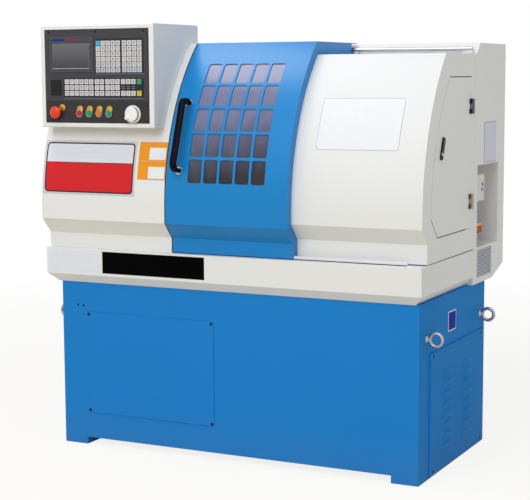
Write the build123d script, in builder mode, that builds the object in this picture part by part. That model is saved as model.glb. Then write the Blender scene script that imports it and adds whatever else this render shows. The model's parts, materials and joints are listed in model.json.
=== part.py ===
from build123d import *
import os
from math import asin, cos, degrees, hypot, radians, sin

os.makedirs("parts", exist_ok=True)

# Compact turning lathe on a sheet steel stand.
# X runs to the right along the spindle, Y to the back and Z up, in millimetres.
# The origin is on the floor, at the centre of the stand.

# Stand
stand_length = 1370.0
stand_depth = 673.0
stand_height = 595.0
stand_wall = 5.0
toe_height = 26.0
skid_width = 95.0
foot_plate = 8.0
base_plate = 6.0
foot_bolt_radius = 7.0
foot_bolt_inset_x = 47.0
foot_bolt_inset_y = 60.0
panel_lap = 22.0
overrun = 20.0

# Access panel on the front of the stand and louvred panel on its right end
panel_start = 104.0
panel_width = 516.0
panel_bottom = 120.0
panel_drop = 107.0
panel_sheet = 2.5
end_panel_start = 95.0
end_panel_width = 560.0
end_panel_bottom = 6.0
end_panel_sheet = 5.0
end_opening_bottom = 60.0
louvre_length = 118.0
louvre_height = 20.0
louvre_depth = 6.0
louvre_slit = 5.0
louvre_pitch_share = 0.087
louvre_column_pitch = 202.0
louvre_rows = 8
louvre_columns = 2
louvre_middle_y = 366.0
louvre_middle_share = 0.48

# Lifting eyebolts
eye_ring_radius = 21.0
eye_wire_radius = 6.0
eye_collar_radius = 12.0
eye_collar_height = 10.0
eye_shank_radius = 6.0
eye_shank_length = 30.0
eye_front_y = 70.0
eye_back_y = 622.0
eye_drop = 121.0
eye_panel_gap = 54.0

# Chip tray
tray_front_overhang = 32.0
tray_left_overhang = 43.5
tray_right_overhang = 17.5
tray_depth = 522.0
tray_height = 125.0
tray_chamfer = 31.0
tray_slope_angle = 45.0
tray_wall = 5.0
tray_floor = 8.0
tray_rim_width = 60.0
tray_rim = 6.0
track_width = 8.0
track_height = 12.0
track_setback = 28.0
drain_radius = 20.0
drain_inset = 180.0
drain_setback = 110.0

# Covers and door share one outline, drawn inwards by an inset
cover_ledge = 22.0
cover_end_ledge = 2.5
cover_wall = 3.0
skirt_height = 53.0
slant_rise = 53.0
belly_step = 48.0
belly_height = 44.0
cover_radius = 791.0
cover_height = 721.0
roof_lap = 40.0
headstock_cover_length = 510.0
bulkhead_setback = 42.0
bulkhead_hole_radius = 95.0
bulkhead_gap = 10.0
door_length = 459.0
door_seam = 1.0
door_floor_gap = 3.0
door_left_flange = 20.0
right_cover_inset = 35.0
right_cover_drop = 44.0
right_cover_overlap = 28.0
flange_gap = 1.5

# Slotted face of the door and the pane behind it
slot_rows = 5
slot_columns = 5
slot_width = 51.0
slot_height = 80.0
slot_bar_x = 9.0
slot_bar_z = 10.0
slot_corner = 7.0
slot_lowest_angle = 10.0
pane_sheet = 4.0
pane_gap = 0.3
pane_margin = 16.0

# Door handle
handle_offset = 47.0
handle_top_rise = 514.0
handle_bottom_rise = 288.0
handle_standoff = 46.0
handle_bend = 22.0
handle_width = 24.0
handle_thickness = 15.0
handle_corner = 6.0

# Door rail above the covers
rail_radius = 7.0
rail_setback = 7.0
rail_lift = 18.0
rail_web = 8.0
rail_bracket_length = 40.0
rail_bracket_count = 3
rail_start = 14.0
rail_end_clear = 12.0
hanger_length = 40.0
hanger_width = 30.0
hanger_drop = 10.0
hanger_inset = 16.0
hanger_slot = 12.0
hanger_clearance = 0.3

# Rear housing
housing_seam = 1.0
housing_depth = 350.0
housing_drop = 5.0
housing_wall = 3.0
housing_ledge = 16.0
housing_ledge_drop = 43.0
housing_slant_run = 37.0
housing_overhang_run = 132.0
housing_overhang_rise = 41.0
recess_start = 39.0
recess_width = 240.0
recess_bottom = 128.0
recess_height = 289.0
recess_depth = 150.0

# Hinged doors: side access door and rear cabinet door
hinge_gap = 1.5
hinge_height = 51.0
hinge_knuckle_radius = 6.0
hinge_pin_radius = 3.0
hinge_clearance = 0.08
hinge_end_gap = 0.4
hinge_leaf = 2.0
hinge_leaf_width = 24.0
hinge_middle_share = 0.36
side_door_inset = 117.0
side_door_drop = 79.0
side_door_lift = 82.0
side_door_cut_rise = 64.0
side_door_cut_run = 62.0
side_door_rear_gap = 44.0
side_hinge_drop = 98.0
side_hinge_lift = 92.0
latch_length = 78.0
latch_width = 20.0
latch_sheet = 5.0
latch_shaft_radius = 5.0
latch_shaft_clearance = 0.08
latch_setback = 340.5
latch_tilt_angle = 21.0
latch_rise = 350.0
latch_pivot_share = 0.25
rear_door_start = 300.0
rear_door_width = 800.0
rear_door_lift = 105.0
rear_door_drop = 96.0
rear_hinge_inset = 90.0

# Control pendant on the headstock cover
pendant_door_gap = 30.0
pendant_depth = 309.0
pendant_rise = 431.0
pendant_forward = 15.0
pendant_wall = 3.0
pendant_corner = 5.0
pendant_seat_gap = 0.3
fascia_margin_x = 18.5
fascia_margin_z = 16.2
fascia_sheet = 3.5
fascia_proud = 0.5
fascia_gap = 0.5
fascia_lip = 10.0
screen_start = 23.0
screen_gap = 21.0
fascia_top_gap = 22.1
screen_width = 181.0
screen_height = 124.0
screen_border_left = 7.5
screen_border_right = 18.5
screen_border_bottom = 12.0
screen_border_top = 23.0
screen_proud = 3.0
screen_corner = 5.0
glass_sheet = 1.5
keypad_sheet = 1.0
key_height = 1.2
pad_gap = 6.0
pad_end_gap = 18.0
upper_pad_gap = 16.0
upper_pad_width = 195.0
upper_pad_height = 119.0
key_width = 17.6
key_depth = 16.6
key_pitch_x = 20.1
key_pitch_z = 18.2
letter_columns = 5
number_columns = 4
upper_rows = 6
letter_block_inset = 3.0
number_block_inset = 108.8
upper_block_bottom = 3.5
lower_pad_start = 77.0
lower_pad_bottom = 87.0
lower_pad_height = 67.0
lower_rows = 3
lower_key_width = 17.4
lower_key_depth = 17.0
lower_pitch_x = 20.2
lower_pitch_z = 19.9
lower_block_bottom = 6.5
lower_group_start = 5.6
lower_group_gap = 2.8
lower_group_columns = (6, 2, 3, 3, 1)
lower_full_group_count = 3
lower_open_rows = 2
port_start = 24.0
port_bottom = 95.0
port_width = 43.0
port_height = 53.0
port_proud = 3.0
port_corner = 4.0
port_taper_angle = 10.0
stop_x = 48.5
stop_z = 36.0
stop_radius = 21.0
stop_head = 12.0
stop_stem_radius = 11.0
stop_bezel_radius = 15.0
stop_bezel_height = 6.0
stop_travel = 5.0
button_first_x = 141.0
button_pitch = 40.3
button_z = 33.0
button_radius = 10.0
button_bezel_radius = 13.5
button_bezel_height = 4.0
button_proud = 3.5
button_stem = 14.0
button_clearance = 0.4
dial_from_end = 64.0
dial_z = 31.0
dial_radius = 31.0
dial_height = 17.0
dial_flange = 5.0
dial_drum_radius = 25.0
dial_edge = 3.0
dial_shaft_radius = 5.0
dial_shaft_clearance = 0.08
dial_seat_gap = 0.4
dial_knob_radius = 6.5
dial_knob_height = 12.0
dial_knob_ring_share = 0.58
dial_knob_angle = 225.0

# Bed and headstock
bed_start = 100.0
bed_end_clear = 122.5
bed_height = 322.0
bed_width = 220.0
bed_web = 34.0
bed_foot_height = 34.0
bed_foot_lip = 12.0
way_width = 62.0
way_height = 46.0
vee_half_width = 16.0
vee_height = 9.0
bed_rib = 24.0
bed_rib_count = 5
bed_rib_share = 0.55
spindle_setback = 300.0
centre_height = 125.0
headstock_length = 300.0
headstock_width = 206.0
headstock_above_axis = 112.0
headstock_corner = 38.0
way_gap = 0.3

# Spindle, chuck and their drive
spindle_radius = 30.0
spindle_bore = 15.0
spindle_tail = 85.0
spindle_nose_gap = 12.0
spindle_nose_radius = 52.0
spindle_nose_length = 28.0
bearing_radius = 48.0
bearing_width = 34.0
bearing_clearance = 0.05
chuck_radius = 80.0
chuck_length = 72.0
chuck_bore = 20.0
chuck_edge = 4.0
jaw_width = 20.0
jaw_root = 14.0
jaw_length = 48.0
jaw_inner = 24.0
jaw_step = 18.0
jaw_height = 34.0
jaw_low_height = 17.0
jaw_clearance = 0.3
jaw_count = 3
pulley_width = 40.0
pulley_gap = 14.0
spindle_pulley_radius = 75.0
motor_pulley_radius = 50.0
pulley_flange = 5.0
pulley_flange_width = 3.0
belt_width = 32.0
belt_thickness = 7.0
belt_gap = 0.3
belt_slot_clear = 14.0

# Spindle motor in the stand
motor_radius = 98.0
motor_length = 260.0
motor_gap = 34.0
motor_rib = 4.0
motor_rib_count = 9
motor_axis_height = 140.0
motor_foot_width = 216.0
motor_foot_height = 16.0
motor_foot_length = 170.0
motor_pedestal_width = 120.0
motor_bell_radius = 84.0
motor_bell_length = 40.0
motor_shaft_radius = 19.0
motor_shaft_clearance = 0.08
motor_shaft_depth = 60.0

# Saddle, cross slide and turret
saddle_start = 690.0
saddle_length = 180.0
saddle_height = 46.0
saddle_front = 40.0
saddle_back = 20.0
apron_length = 120.0
apron_gap = 2.0
apron_height = 90.0
cross_length = 220.0
cross_width = 130.0
cross_height = 30.0
cross_front = 90.0
channel_width = 40.0
channel_floor = 12.0
channel_front_wall = 16.0
channel_back_wall = 30.0
cross_nut_length = 40.0
cross_nut_side_gap = 2.0
cross_screw_radius = 8.0
cross_screw_height = 28.0
screw_clearance = 0.3
journal_clearance = 0.08
cross_servo_size = 34.0
cross_servo_length = 90.0
cross_servo_corner = 5.0
turret_setback = 165.0
turret_base_radius = 50.0
turret_base_height = 12.0
turret_size = 110.0
turret_height = 70.0
turret_corner = 10.0
turret_cap_radius = 26.0
turret_cap_height = 14.0
tool_size = 16.0
tool_reach = 30.0
tool_slot_depth = 20.0
tool_slot_gap = 3.0
tool_nose_share = 0.45

# Longitudinal ball screw
feed_screw_radius = 12.5
feed_screw_drop = 55.0
feed_screw_forward = 21.0
feed_block_length = 32.0
feed_block_height = 56.0
feed_block_depth = 44.0
feed_block_start = 440.0
servo_size = 80.0
servo_length = 96.0
servo_corner = 8.0
servo_cap_share = 0.8
servo_cap_length = 22.0

# Tailstock
tailstock_end_clear = 22.0
tailstock_length = 140.0
tailstock_width = 200.0
tailstock_foot_height = 40.0
tailstock_waist_width = 96.0
tailstock_barrel_radius = 44.0
quill_radius = 22.0
quill_clearance = 0.08
quill_reach = 40.0
quill_depth = 128.0
centre_radius = 12.0
centre_length = 34.0
tail_wheel_radius = 58.0
tail_wheel_rim = 8.0
tail_wheel_gap = 10.0
tail_wheel_hub_radius = 16.0
tail_wheel_hub_length = 26.0
tail_wheel_web = 8.0
tail_shaft_radius = 9.0
tail_shaft_length = 18.0
tail_shaft_clearance = 0.08

# Electrical backplate and drives in the rear housing
backplate_start = 330.0
backplate_width = 720.0
backplate_lift = 165.0
backplate_drop = 136.0
backplate_sheet = 3.0
drive_width = 90.0
drive_height = 210.0
drive_depth = 150.0
drive_pitch = 130.0
drive_start = 60.0
drive_bottom = 250.0
drive_fin = 6.0
drive_fin_count = 6
inverter_width = 180.0
inverter_height = 300.0
inverter_depth = 160.0
inverter_start = 430.0
inverter_bottom = 160.0

# Lubricator in the recess
pump_width = 118.0
pump_height = 98.0
pump_end_gap = 15.0
pump_bottom = 156.0
pump_start = 12.0
pump_corner = 8.0
oil_tank_height = 121.0
oil_tank_inset = 9.0
oil_tank_wall = 3.0

# Coolant tank and pump in the stand
coolant_end_clear = 70.0
coolant_length = 480.0
coolant_depth = 460.0
coolant_height = 190.0
coolant_start_y = 40.0
coolant_wall = 4.0
coolant_inlet_radius = 60.0
coolant_pump_radius = 55.0
coolant_pump_height = 130.0
coolant_flange_radius = 72.0
coolant_flange = 12.0
coolant_impeller_radius = 40.0
coolant_impeller_length = 150.0
coolant_pump_inset = 110.0


# Faces that pieces share
left = -stand_length / 2
right = stand_length / 2
front = -stand_depth / 2
back = stand_depth / 2
tray_left = left - tray_left_overhang
tray_right = right + tray_right_overhang
tray_front = front - tray_front_overhang
tray_back = tray_front + tray_depth
tray_top = stand_height + tray_height
floor_top = stand_height + tray_floor
stand_floor = toe_height + base_plate
panel_height = stand_height - panel_drop - panel_bottom
eye_height = stand_height - eye_drop
end_panel_height = eye_height - eye_panel_gap - end_panel_bottom
louvre_pitch = end_panel_height * louvre_pitch_share
louvre_middle_z = end_panel_bottom + end_panel_height * louvre_middle_share

lower_y = tray_front + cover_ledge
belly_y = lower_y - belly_step
slant_z = tray_top + skirt_height
slant_top_z = slant_z + slant_rise
arc_z = slant_top_z + belly_height
arc_y = belly_y + cover_radius
crease_rise_share = (hypot(slant_rise, belly_step) - slant_rise) / belly_step
roof_z = tray_top + cover_height
right_roof_z = roof_z - right_cover_drop
housing_top = roof_z - housing_drop
housing_ledge_z = roof_z - housing_ledge_drop
side_door_top = right_roof_z - side_door_drop
side_hinge_top_z = side_door_top - side_hinge_drop
side_door_bottom = tray_top + side_door_lift
side_door_cut_z = side_door_bottom + side_door_cut_rise
side_hinge_bottom_z = side_door_bottom + side_hinge_lift
latch_z = tray_top + latch_rise
handle_top_z = tray_top + handle_top_rise
handle_bottom_z = tray_top + handle_bottom_rise
pendant_bottom = tray_top + pendant_rise
rear_door_bottom = stand_height + rear_door_lift
backplate_bottom = stand_height + backplate_lift
rear_door_height = housing_top - rear_door_drop - rear_door_bottom
backplate_height = housing_top - backplate_drop - backplate_bottom
front_angle = 180.0
cover_back = tray_back
housing_front = tray_back + housing_seam
lip_back = housing_front + roof_lap
cover_left = tray_left + cover_end_ledge
cover_right = tray_right - cover_end_ledge
door_left = cover_left + headstock_cover_length
door_right = door_left + door_length
door_middle = (door_left + door_right) / 2
right_cover_left = door_right - right_cover_overlap
door_bottom = tray_top + door_floor_gap
track_top = tray_top + track_height
flange_bottom = track_top + door_floor_gap
rail_y = housing_front + rail_setback
rail_z = housing_ledge_z + rail_lift
flange_back = rail_y - hanger_width / 2

bed_left = left + bed_start
bed_right = cover_right - bed_end_clear
bed_top = floor_top + bed_height
spindle_y = front + spindle_setback
spindle_z = bed_top + centre_height
bed_front = spindle_y - bed_width / 2
bed_back = spindle_y + bed_width / 2
vee_y = bed_front + way_width / 2
headstock_right = bed_left + headstock_length
nose_left = headstock_right + spindle_nose_gap
chuck_left = nose_left + spindle_nose_length
chuck_face = chuck_left + chuck_length
pulley_right = bed_left - pulley_gap
pulley_middle = pulley_right - pulley_width / 2
motor_z = stand_floor + motor_axis_height
motor_left = pulley_right + motor_gap

tank_right = right - coolant_end_clear
tank_left = tank_right - coolant_length
tank_front = front + coolant_start_y
drain_x = tank_left + drain_inset
drain_y = front + drain_setback

housing_back = housing_front + housing_depth
recess_front = housing_front + recess_start
recess_floor = stand_height + recess_bottom
recess_back_x = cover_right - recess_depth


# Sketch planes
def end_plane(x):
    """Plane across the machine: sketch axes run to the back and up, extrusions to the right."""
    return Plane.YZ.offset(x)


def front_plane(y):
    """Plane along the machine: sketch axes run to the right and up, extrusions to the operator."""
    return Plane.XZ.offset(-y)


def level(z):
    """Horizontal plane at a height above the floor."""
    return Plane.XY.offset(z)


# Shapes used by several pieces
def block(x_span, y_span, z_span, mode=Mode.ADD):
    """Box between two values on each axis, put into the part being built."""
    with Locations((x_span[0], y_span[0], z_span[0])):
        Box(
            x_span[1] - x_span[0],
            y_span[1] - y_span[0],
            z_span[1] - z_span[0],
            align=(Align.MIN, Align.MIN, Align.MIN),
            mode=mode,
        )


def turned(origin, direction, stations, bore=0, mode=Mode.ADD):
    """Turned piece: stations are pairs of distance along the axis and radius."""
    across = (direction[2], direction[0], direction[1])
    with BuildSketch(Plane(origin=origin, x_dir=direction, z_dir=across)) as half_section:
        with BuildLine():
            Polyline((stations[0][0], bore), *stations, (stations[-1][0], bore), close=True)
        make_face()
    revolve(half_section.sketch, axis=Axis(origin, direction), mode=mode)


def cover_section(x, inset, roof, rear, bottom):
    """Filled outline of the covers seen from the end, drawn inwards by inset."""
    rise = inset * crease_rise_share
    radius = cover_radius - inset
    with BuildSketch(end_plane(x)) as section:
        with BuildLine():
            skirt = Polyline(
                (rear, bottom),
                (lower_y + inset, bottom),
                (lower_y + inset, slant_z + rise),
                (belly_y + inset, slant_top_z + rise),
                (belly_y + inset, arc_z),
            )
            sweep_angle = -degrees(asin((roof - arc_z) / radius))
            bow = CenterArc((arc_y, arc_z), radius, front_angle, sweep_angle)
            Polyline(bow @ 1, (rear, roof), skirt @ 0)
        make_face()
    return section.sketch


def flange_section(x, inner_inset, inner_roof):
    """Ring between the covers' outline and an inner outline, clear of the track and the rail."""
    outer = cover_section(x, 0, roof_z, flange_back, flange_bottom)
    inner = cover_section(x, inner_inset, inner_roof, flange_back + overrun, flange_bottom - overrun)
    return outer - inner


def vee_section(x, grow):
    """Inverted vee of the front way, grown by a gap where a piece slides over it."""
    with BuildSketch(end_plane(x)) as section:
        with BuildLine():
            Polyline(
                (vee_y - vee_half_width - grow, bed_top),
                (vee_y, bed_top + vee_height + grow),
                (vee_y + vee_half_width + grow, bed_top),
                close=True,
            )
        make_face()
    return section.sketch


def door_tangent(angle, x):
    """Plane that touches the door's curved face at an angle above the horizontal."""
    outward = (0, -cos(radians(angle)), sin(radians(angle)))
    touch = (x, arc_y + cover_radius * outward[1], arc_z + cover_radius * outward[2])
    return Plane(origin=touch, x_dir=(1, 0, 0), z_dir=outward)


# Stand cabinet: folded sheet box on two skids, with openings behind the panels
with BuildPart() as stand_cabinet:
    block((left, right), (front, back), (0, stand_height))
    block(
        (left + skid_width, right - skid_width),
        (front - overrun, back + overrun),
        (0, toe_height),
        Mode.SUBTRACT,
    )
    block(
        (left + stand_wall, right - stand_wall),
        (front + stand_wall, back - stand_wall),
        (stand_floor, stand_height - stand_wall),
        Mode.SUBTRACT,
    )
    for skid_left in (left + stand_wall, right - skid_width + stand_wall):
        block(
            (skid_left, skid_left + skid_width - 2 * stand_wall),
            (front + stand_wall, back - stand_wall),
            (foot_plate, stand_floor),
            Mode.SUBTRACT,
        )
    with BuildSketch(level(0)):
        with GridLocations(
            stand_length - 2 * foot_bolt_inset_x, stand_depth - 2 * foot_bolt_inset_y, 2, 2
        ):
            Circle(foot_bolt_radius)
    extrude(amount=foot_plate, mode=Mode.SUBTRACT)
    block(
        (left + panel_start + panel_lap, left + panel_start + panel_width - panel_lap),
        (front, front + stand_wall),
        (panel_bottom + panel_lap, panel_bottom + panel_height - panel_lap),
        Mode.SUBTRACT,
    )
    block(
        (right - stand_wall, right),
        (front + end_panel_start + panel_lap, front + end_panel_start + end_panel_width - panel_lap),
        (end_opening_bottom, end_panel_bottom + end_panel_height - panel_lap),
        Mode.SUBTRACT,
    )
    belt_slot_half = spindle_pulley_radius + belt_thickness + belt_slot_clear
    block(
        (pulley_middle - belt_width, pulley_middle + belt_width),
        (spindle_y - belt_slot_half, spindle_y + belt_slot_half),
        (stand_height - stand_wall, stand_height),
        Mode.SUBTRACT,
    )
    with BuildSketch(level(stand_height)):
        with Locations((drain_x, drain_y)):
            Circle(drain_radius)
    extrude(amount=-stand_wall, mode=Mode.SUBTRACT)
    for eye_face, eye_way in ((left, 1), (right, -1)):
        for eye_y in (front + eye_front_y, front + eye_back_y):
            turned((eye_face, eye_y, eye_height), (eye_way, 0, 0),
                   ((0, eye_shank_radius), (stand_wall, eye_shank_radius)), mode=Mode.SUBTRACT)
stand_cabinet.part.label = "stand_cabinet"
export_step(stand_cabinet.part, "parts/stand_cabinet.step")

# Front access panel: sheet lapped over its opening
with BuildPart() as front_access_panel:
    with BuildSketch(front_plane(front)):
        with Locations((left + panel_start + panel_width / 2, panel_bottom + panel_height / 2)):
            Rectangle(panel_width, panel_height)
    extrude(amount=panel_sheet)
front_access_panel.part.label = "front_access_panel"
export_step(front_access_panel.part, "parts/front_access_panel.step")

# End panel: sheet with two columns of pressed louvres, each a hood over a slit
with BuildPart() as end_louvre_panel:
    with BuildSketch(end_plane(right)):
        with Locations(
            (front + end_panel_start + end_panel_width / 2, end_panel_bottom + end_panel_height / 2)
        ):
            Rectangle(end_panel_width, end_panel_height)
    extrude(amount=end_panel_sheet)
    louvre_face = right + end_panel_sheet
    for column in range(louvre_columns):
        column_share = column - (louvre_columns - 1) / 2
        louvre_y = front + louvre_middle_y + column_share * louvre_column_pitch - louvre_length / 2
        for row in range(louvre_rows):
            louvre_z = louvre_middle_z + (row - (louvre_rows - 1) / 2) * louvre_pitch
            with BuildSketch(Plane.XZ.offset(-louvre_y)):
                with BuildLine():
                    Polyline(
                        (louvre_face, louvre_z + louvre_height / 2),
                        (louvre_face + louvre_depth, louvre_z - louvre_height / 2),
                        (louvre_face, louvre_z - louvre_height / 2),
                        close=True,
                    )
                make_face()
            extrude(amount=-louvre_length)
            block(
                (right, louvre_face),
                (louvre_y, louvre_y + louvre_length),
                (louvre_z - louvre_height / 2 - louvre_slit, louvre_z - louvre_height / 2),
                Mode.SUBTRACT,
            )
end_louvre_panel.part.label = "end_louvre_panel"
export_step(end_louvre_panel.part, "parts/end_louvre_panel.step")

# Lifting eyebolts: collar, ring and shank through the stand's end walls
with BuildPart() as lifting_eyebolts:
    for eye_face, eye_way in ((left, -1), (right, 1)):
        ring_x = eye_face + eye_way * (eye_collar_height + eye_ring_radius)
        for eye_y in (front + eye_front_y, front + eye_back_y):
            turned(
                (eye_face, eye_y, eye_height),
                (eye_way, 0, 0),
                ((-eye_shank_length, eye_shank_radius), (0, eye_shank_radius), (0, eye_collar_radius),
                 (eye_collar_height, eye_wire_radius)),
            )
            with Locations((ring_x, eye_y, eye_height)):
                Torus(eye_ring_radius, eye_wire_radius, rotation=(90, 0, 0))
lifting_eyebolts.part.label = "lifting_eyebolts"
export_step(lifting_eyebolts.part, "parts/lifting_eyebolts.step")

# Chip tray: pan with a chamfered underside, an inward rim and the door's bottom track
with BuildPart() as chip_tray:
    block((tray_left, tray_right), (tray_front, tray_back), (stand_height, tray_top))
    under_edges = chip_tray.faces().sort_by(Axis.Z)[0].edges()
    chamfer(under_edges - under_edges.sort_by(Axis.Y)[-1:], length=tray_chamfer)
    with BuildSketch(level(floor_top)):
        with Locations(((tray_left + tray_right) / 2, (tray_front + tray_back) / 2)):
            Rectangle(
                tray_right - tray_left - 2 * tray_wall - 2 * tray_chamfer,
                tray_depth - 2 * tray_wall - 2 * tray_chamfer,
            )
    extrude(amount=tray_chamfer, taper=-tray_slope_angle, mode=Mode.SUBTRACT)
    block(
        (tray_left + tray_wall, tray_right - tray_wall),
        (tray_front + tray_wall, tray_back - tray_wall),
        (floor_top + tray_chamfer, tray_top - tray_rim),
        Mode.SUBTRACT,
    )
    block(
        (tray_left + tray_rim_width, tray_right - tray_rim_width),
        (tray_front + tray_rim_width, tray_back - tray_rim_width),
        (tray_top - tray_rim, tray_top),
        Mode.SUBTRACT,
    )
    block(
        (door_left, tray_right - tray_rim_width),
        (tray_front + track_setback, tray_front + track_setback + track_width),
        (tray_top, track_top),
    )
    block(
        (pulley_middle - belt_width, pulley_middle + belt_width),
        (spindle_y - belt_slot_half, spindle_y + belt_slot_half),
        (stand_height, floor_top),
        Mode.SUBTRACT,
    )
    with BuildSketch(level(stand_height)):
        with Locations((drain_x, drain_y)):
            Circle(drain_radius)
    extrude(amount=tray_floor, mode=Mode.SUBTRACT)
chip_tray.part.label = "chip_tray"
export_step(chip_tray.part, "parts/chip_tray.step")

# Headstock cover: curved sheet with a left end wall, a roof lip and a bulkhead round the chuck
with BuildPart() as headstock_cover:
    cover_span = headstock_cover_length - door_seam
    extrude(cover_section(cover_left, 0, roof_z, cover_back, tray_top), amount=cover_span)
    extrude(
        cover_section(
            cover_left + cover_wall,
            cover_wall,
            roof_z - cover_wall,
            cover_back + overrun,
            tray_top - overrun,
        ),
        amount=cover_span,
        mode=Mode.SUBTRACT,
    )
    block((cover_left, cover_left + cover_span), (cover_back, lip_back), (roof_z - cover_wall, roof_z))
    bulkhead_x = door_left - bulkhead_setback
    extrude(
        cover_section(bulkhead_x, cover_wall / 2, roof_z - cover_wall / 2, cover_back, tray_top),
        amount=cover_wall,
    )
    turned(
        (bulkhead_x, spindle_y, spindle_z),
        (1, 0, 0),
        ((-cover_wall, bulkhead_hole_radius), (2 * cover_wall, bulkhead_hole_radius)),
        mode=Mode.SUBTRACT,
    )
    block(
        (bulkhead_x, bulkhead_x + cover_wall),
        (bed_front - bulkhead_gap, bed_back + bulkhead_gap),
        (tray_top, bed_top + vee_height + bulkhead_gap),
        Mode.SUBTRACT,
    )
headstock_cover.part.label = "headstock_cover"
export_step(headstock_cover.part, "parts/headstock_cover.step")

# Sliding door: the same curved sheet with stiffening flanges and a grid of rounded slots
with BuildPart() as sliding_door:
    extrude(cover_section(door_left, 0, roof_z, cover_back, door_bottom), amount=door_length)
    extrude(
        cover_section(
            door_left - overrun,
            cover_wall,
            roof_z - cover_wall,
            cover_back + overrun,
            door_bottom - overrun,
        ),
        amount=door_length + 2 * overrun,
        mode=Mode.SUBTRACT,
    )
    block((door_left, door_right), (cover_back, lip_back), (roof_z - cover_wall, roof_z))
    extrude(flange_section(door_left, door_left_flange, roof_z - door_left_flange), amount=cover_wall)
    extrude(
        flange_section(
            door_right - cover_wall, right_cover_inset - flange_gap, right_roof_z + 2 * flange_gap
        ),
        amount=cover_wall,
    )
    slot_step = degrees((slot_height + slot_bar_z) / cover_radius)
    for row in range(slot_rows):
        with BuildSketch(door_tangent(slot_lowest_angle + row * slot_step, door_middle)):
            with GridLocations(slot_width + slot_bar_x, slot_height, slot_columns, 1):
                RectangleRounded(slot_width, slot_height, slot_corner)
        extrude(amount=2 * cover_wall, both=True, mode=Mode.SUBTRACT)
sliding_door.part.label = "sliding_door"
export_step(sliding_door.part, "parts/sliding_door.step")

# Door window: one curved pane behind the slots
with BuildPart() as door_window:
    pane_radius = cover_radius - cover_wall - pane_gap
    pane_reach = degrees((slot_height / 2 + pane_margin) / cover_radius)
    pane_low = slot_lowest_angle - pane_reach
    pane_high = slot_lowest_angle + (slot_rows - 1) * slot_step + pane_reach
    pane_length = slot_columns * (slot_width + slot_bar_x) - slot_bar_x + 2 * pane_margin
    with BuildSketch(end_plane(door_middle - pane_length / 2)):
        with BuildLine():
            pane_start = front_angle - pane_low
            pane_sweep = pane_low - pane_high
            outer_bow = CenterArc((arc_y, arc_z), pane_radius, pane_start, pane_sweep)
            inner_bow = CenterArc((arc_y, arc_z), pane_radius - pane_sheet, pane_start, pane_sweep)
            Line(outer_bow @ 0, inner_bow @ 0)
            Line(outer_bow @ 1, inner_bow @ 1)
        make_face()
    extrude(amount=pane_length)
door_window.part.label = "door_window"
export_step(door_window.part, "parts/door_window.step")

# Door handle: bow handle whose legs stand square on the curved face
with BuildPart() as door_handle:
    handle_x = door_left + handle_offset
    legs = []
    for foot_z in (handle_top_z, handle_bottom_z):
        angle = asin((foot_z - arc_z) / cover_radius)
        foot = Vector(handle_x, arc_y - cover_radius * cos(angle), foot_z)
        legs.append((foot, Vector(0, -cos(angle), sin(angle))))
    with BuildLine() as handle_path:
        FilletPolyline(
            legs[0][0] + legs[0][1] * pane_gap,
            legs[0][0] + legs[0][1] * handle_standoff,
            legs[1][0] + legs[1][1] * handle_standoff,
            legs[1][0] + legs[1][1] * pane_gap,
            radius=handle_bend,
        )
    with BuildSketch(Plane(origin=handle_path.line @ 0, x_dir=(1, 0, 0), z_dir=legs[0][1])):
        RectangleRounded(handle_width, handle_thickness, handle_corner)
    sweep(path=handle_path.line)
door_handle.part.label = "door_handle"
export_step(door_handle.part, "parts/door_handle.step")

# Door hangers: bearing blocks under the door's roof, open below for the rail's brackets
with BuildPart() as door_hangers:
    for hanger_left in (door_left + hanger_inset, door_right - hanger_inset - hanger_length):
        with BuildSketch(end_plane(hanger_left)):
            with Locations((rail_y, (roof_z - cover_wall + rail_z - hanger_drop) / 2)):
                Rectangle(hanger_width, roof_z - cover_wall - rail_z + hanger_drop)
            with Locations((rail_y, rail_z)):
                Circle(rail_radius + hanger_clearance, mode=Mode.SUBTRACT)
            with Locations((rail_y, rail_z - hanger_drop / 2)):
                Rectangle(hanger_slot, hanger_drop, mode=Mode.SUBTRACT)
        extrude(amount=hanger_length)
door_hangers.part.label = "door_hangers"
export_step(door_hangers.part, "parts/door_hangers.step")

# Door rail: round bar on three web brackets that stand on the rear housing's ledge
with BuildPart() as door_rail:
    rail_left = door_left + rail_start
    rail_right = cover_right - rail_end_clear
    with BuildSketch(end_plane(rail_left)):
        with Locations((rail_y, rail_z)):
            Circle(rail_radius)
    extrude(amount=rail_right - rail_left)
    bracket_pitch = (rail_right - rail_left - rail_bracket_length) / (rail_bracket_count - 1)
    for index in range(rail_bracket_count):
        bracket_left = rail_left + index * bracket_pitch
        block(
            (bracket_left, bracket_left + rail_bracket_length),
            (rail_y - rail_web / 2, rail_y + rail_web / 2),
            (housing_ledge_z, rail_z),
        )
door_rail.part.label = "door_rail"
export_step(door_rail.part, "parts/door_rail.step")


# Side access door outline, seen from the right end
def side_door_sketch(x, grow):
    """Outline with a curved front edge and a cut lower corner, grown by a gap."""
    door_rear = cover_back - side_door_rear_gap
    radius = cover_radius - side_door_inset
    corner_y = arc_y - radius
    with BuildSketch(end_plane(x)) as outline:
        with BuildLine():
            sweep_angle = -degrees(asin((side_door_top - arc_z) / radius))
            bow = CenterArc((arc_y, arc_z), radius, front_angle, sweep_angle)
            Polyline(
                bow @ 1,
                (door_rear, side_door_top),
                (door_rear, side_door_bottom),
                (corner_y + side_door_cut_run, side_door_bottom),
                (corner_y, side_door_cut_z),
                bow @ 0,
            )
        make_face()
        if grow:
            offset(amount=grow, kind=Kind.INTERSECTION)
    return outline.sketch


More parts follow.
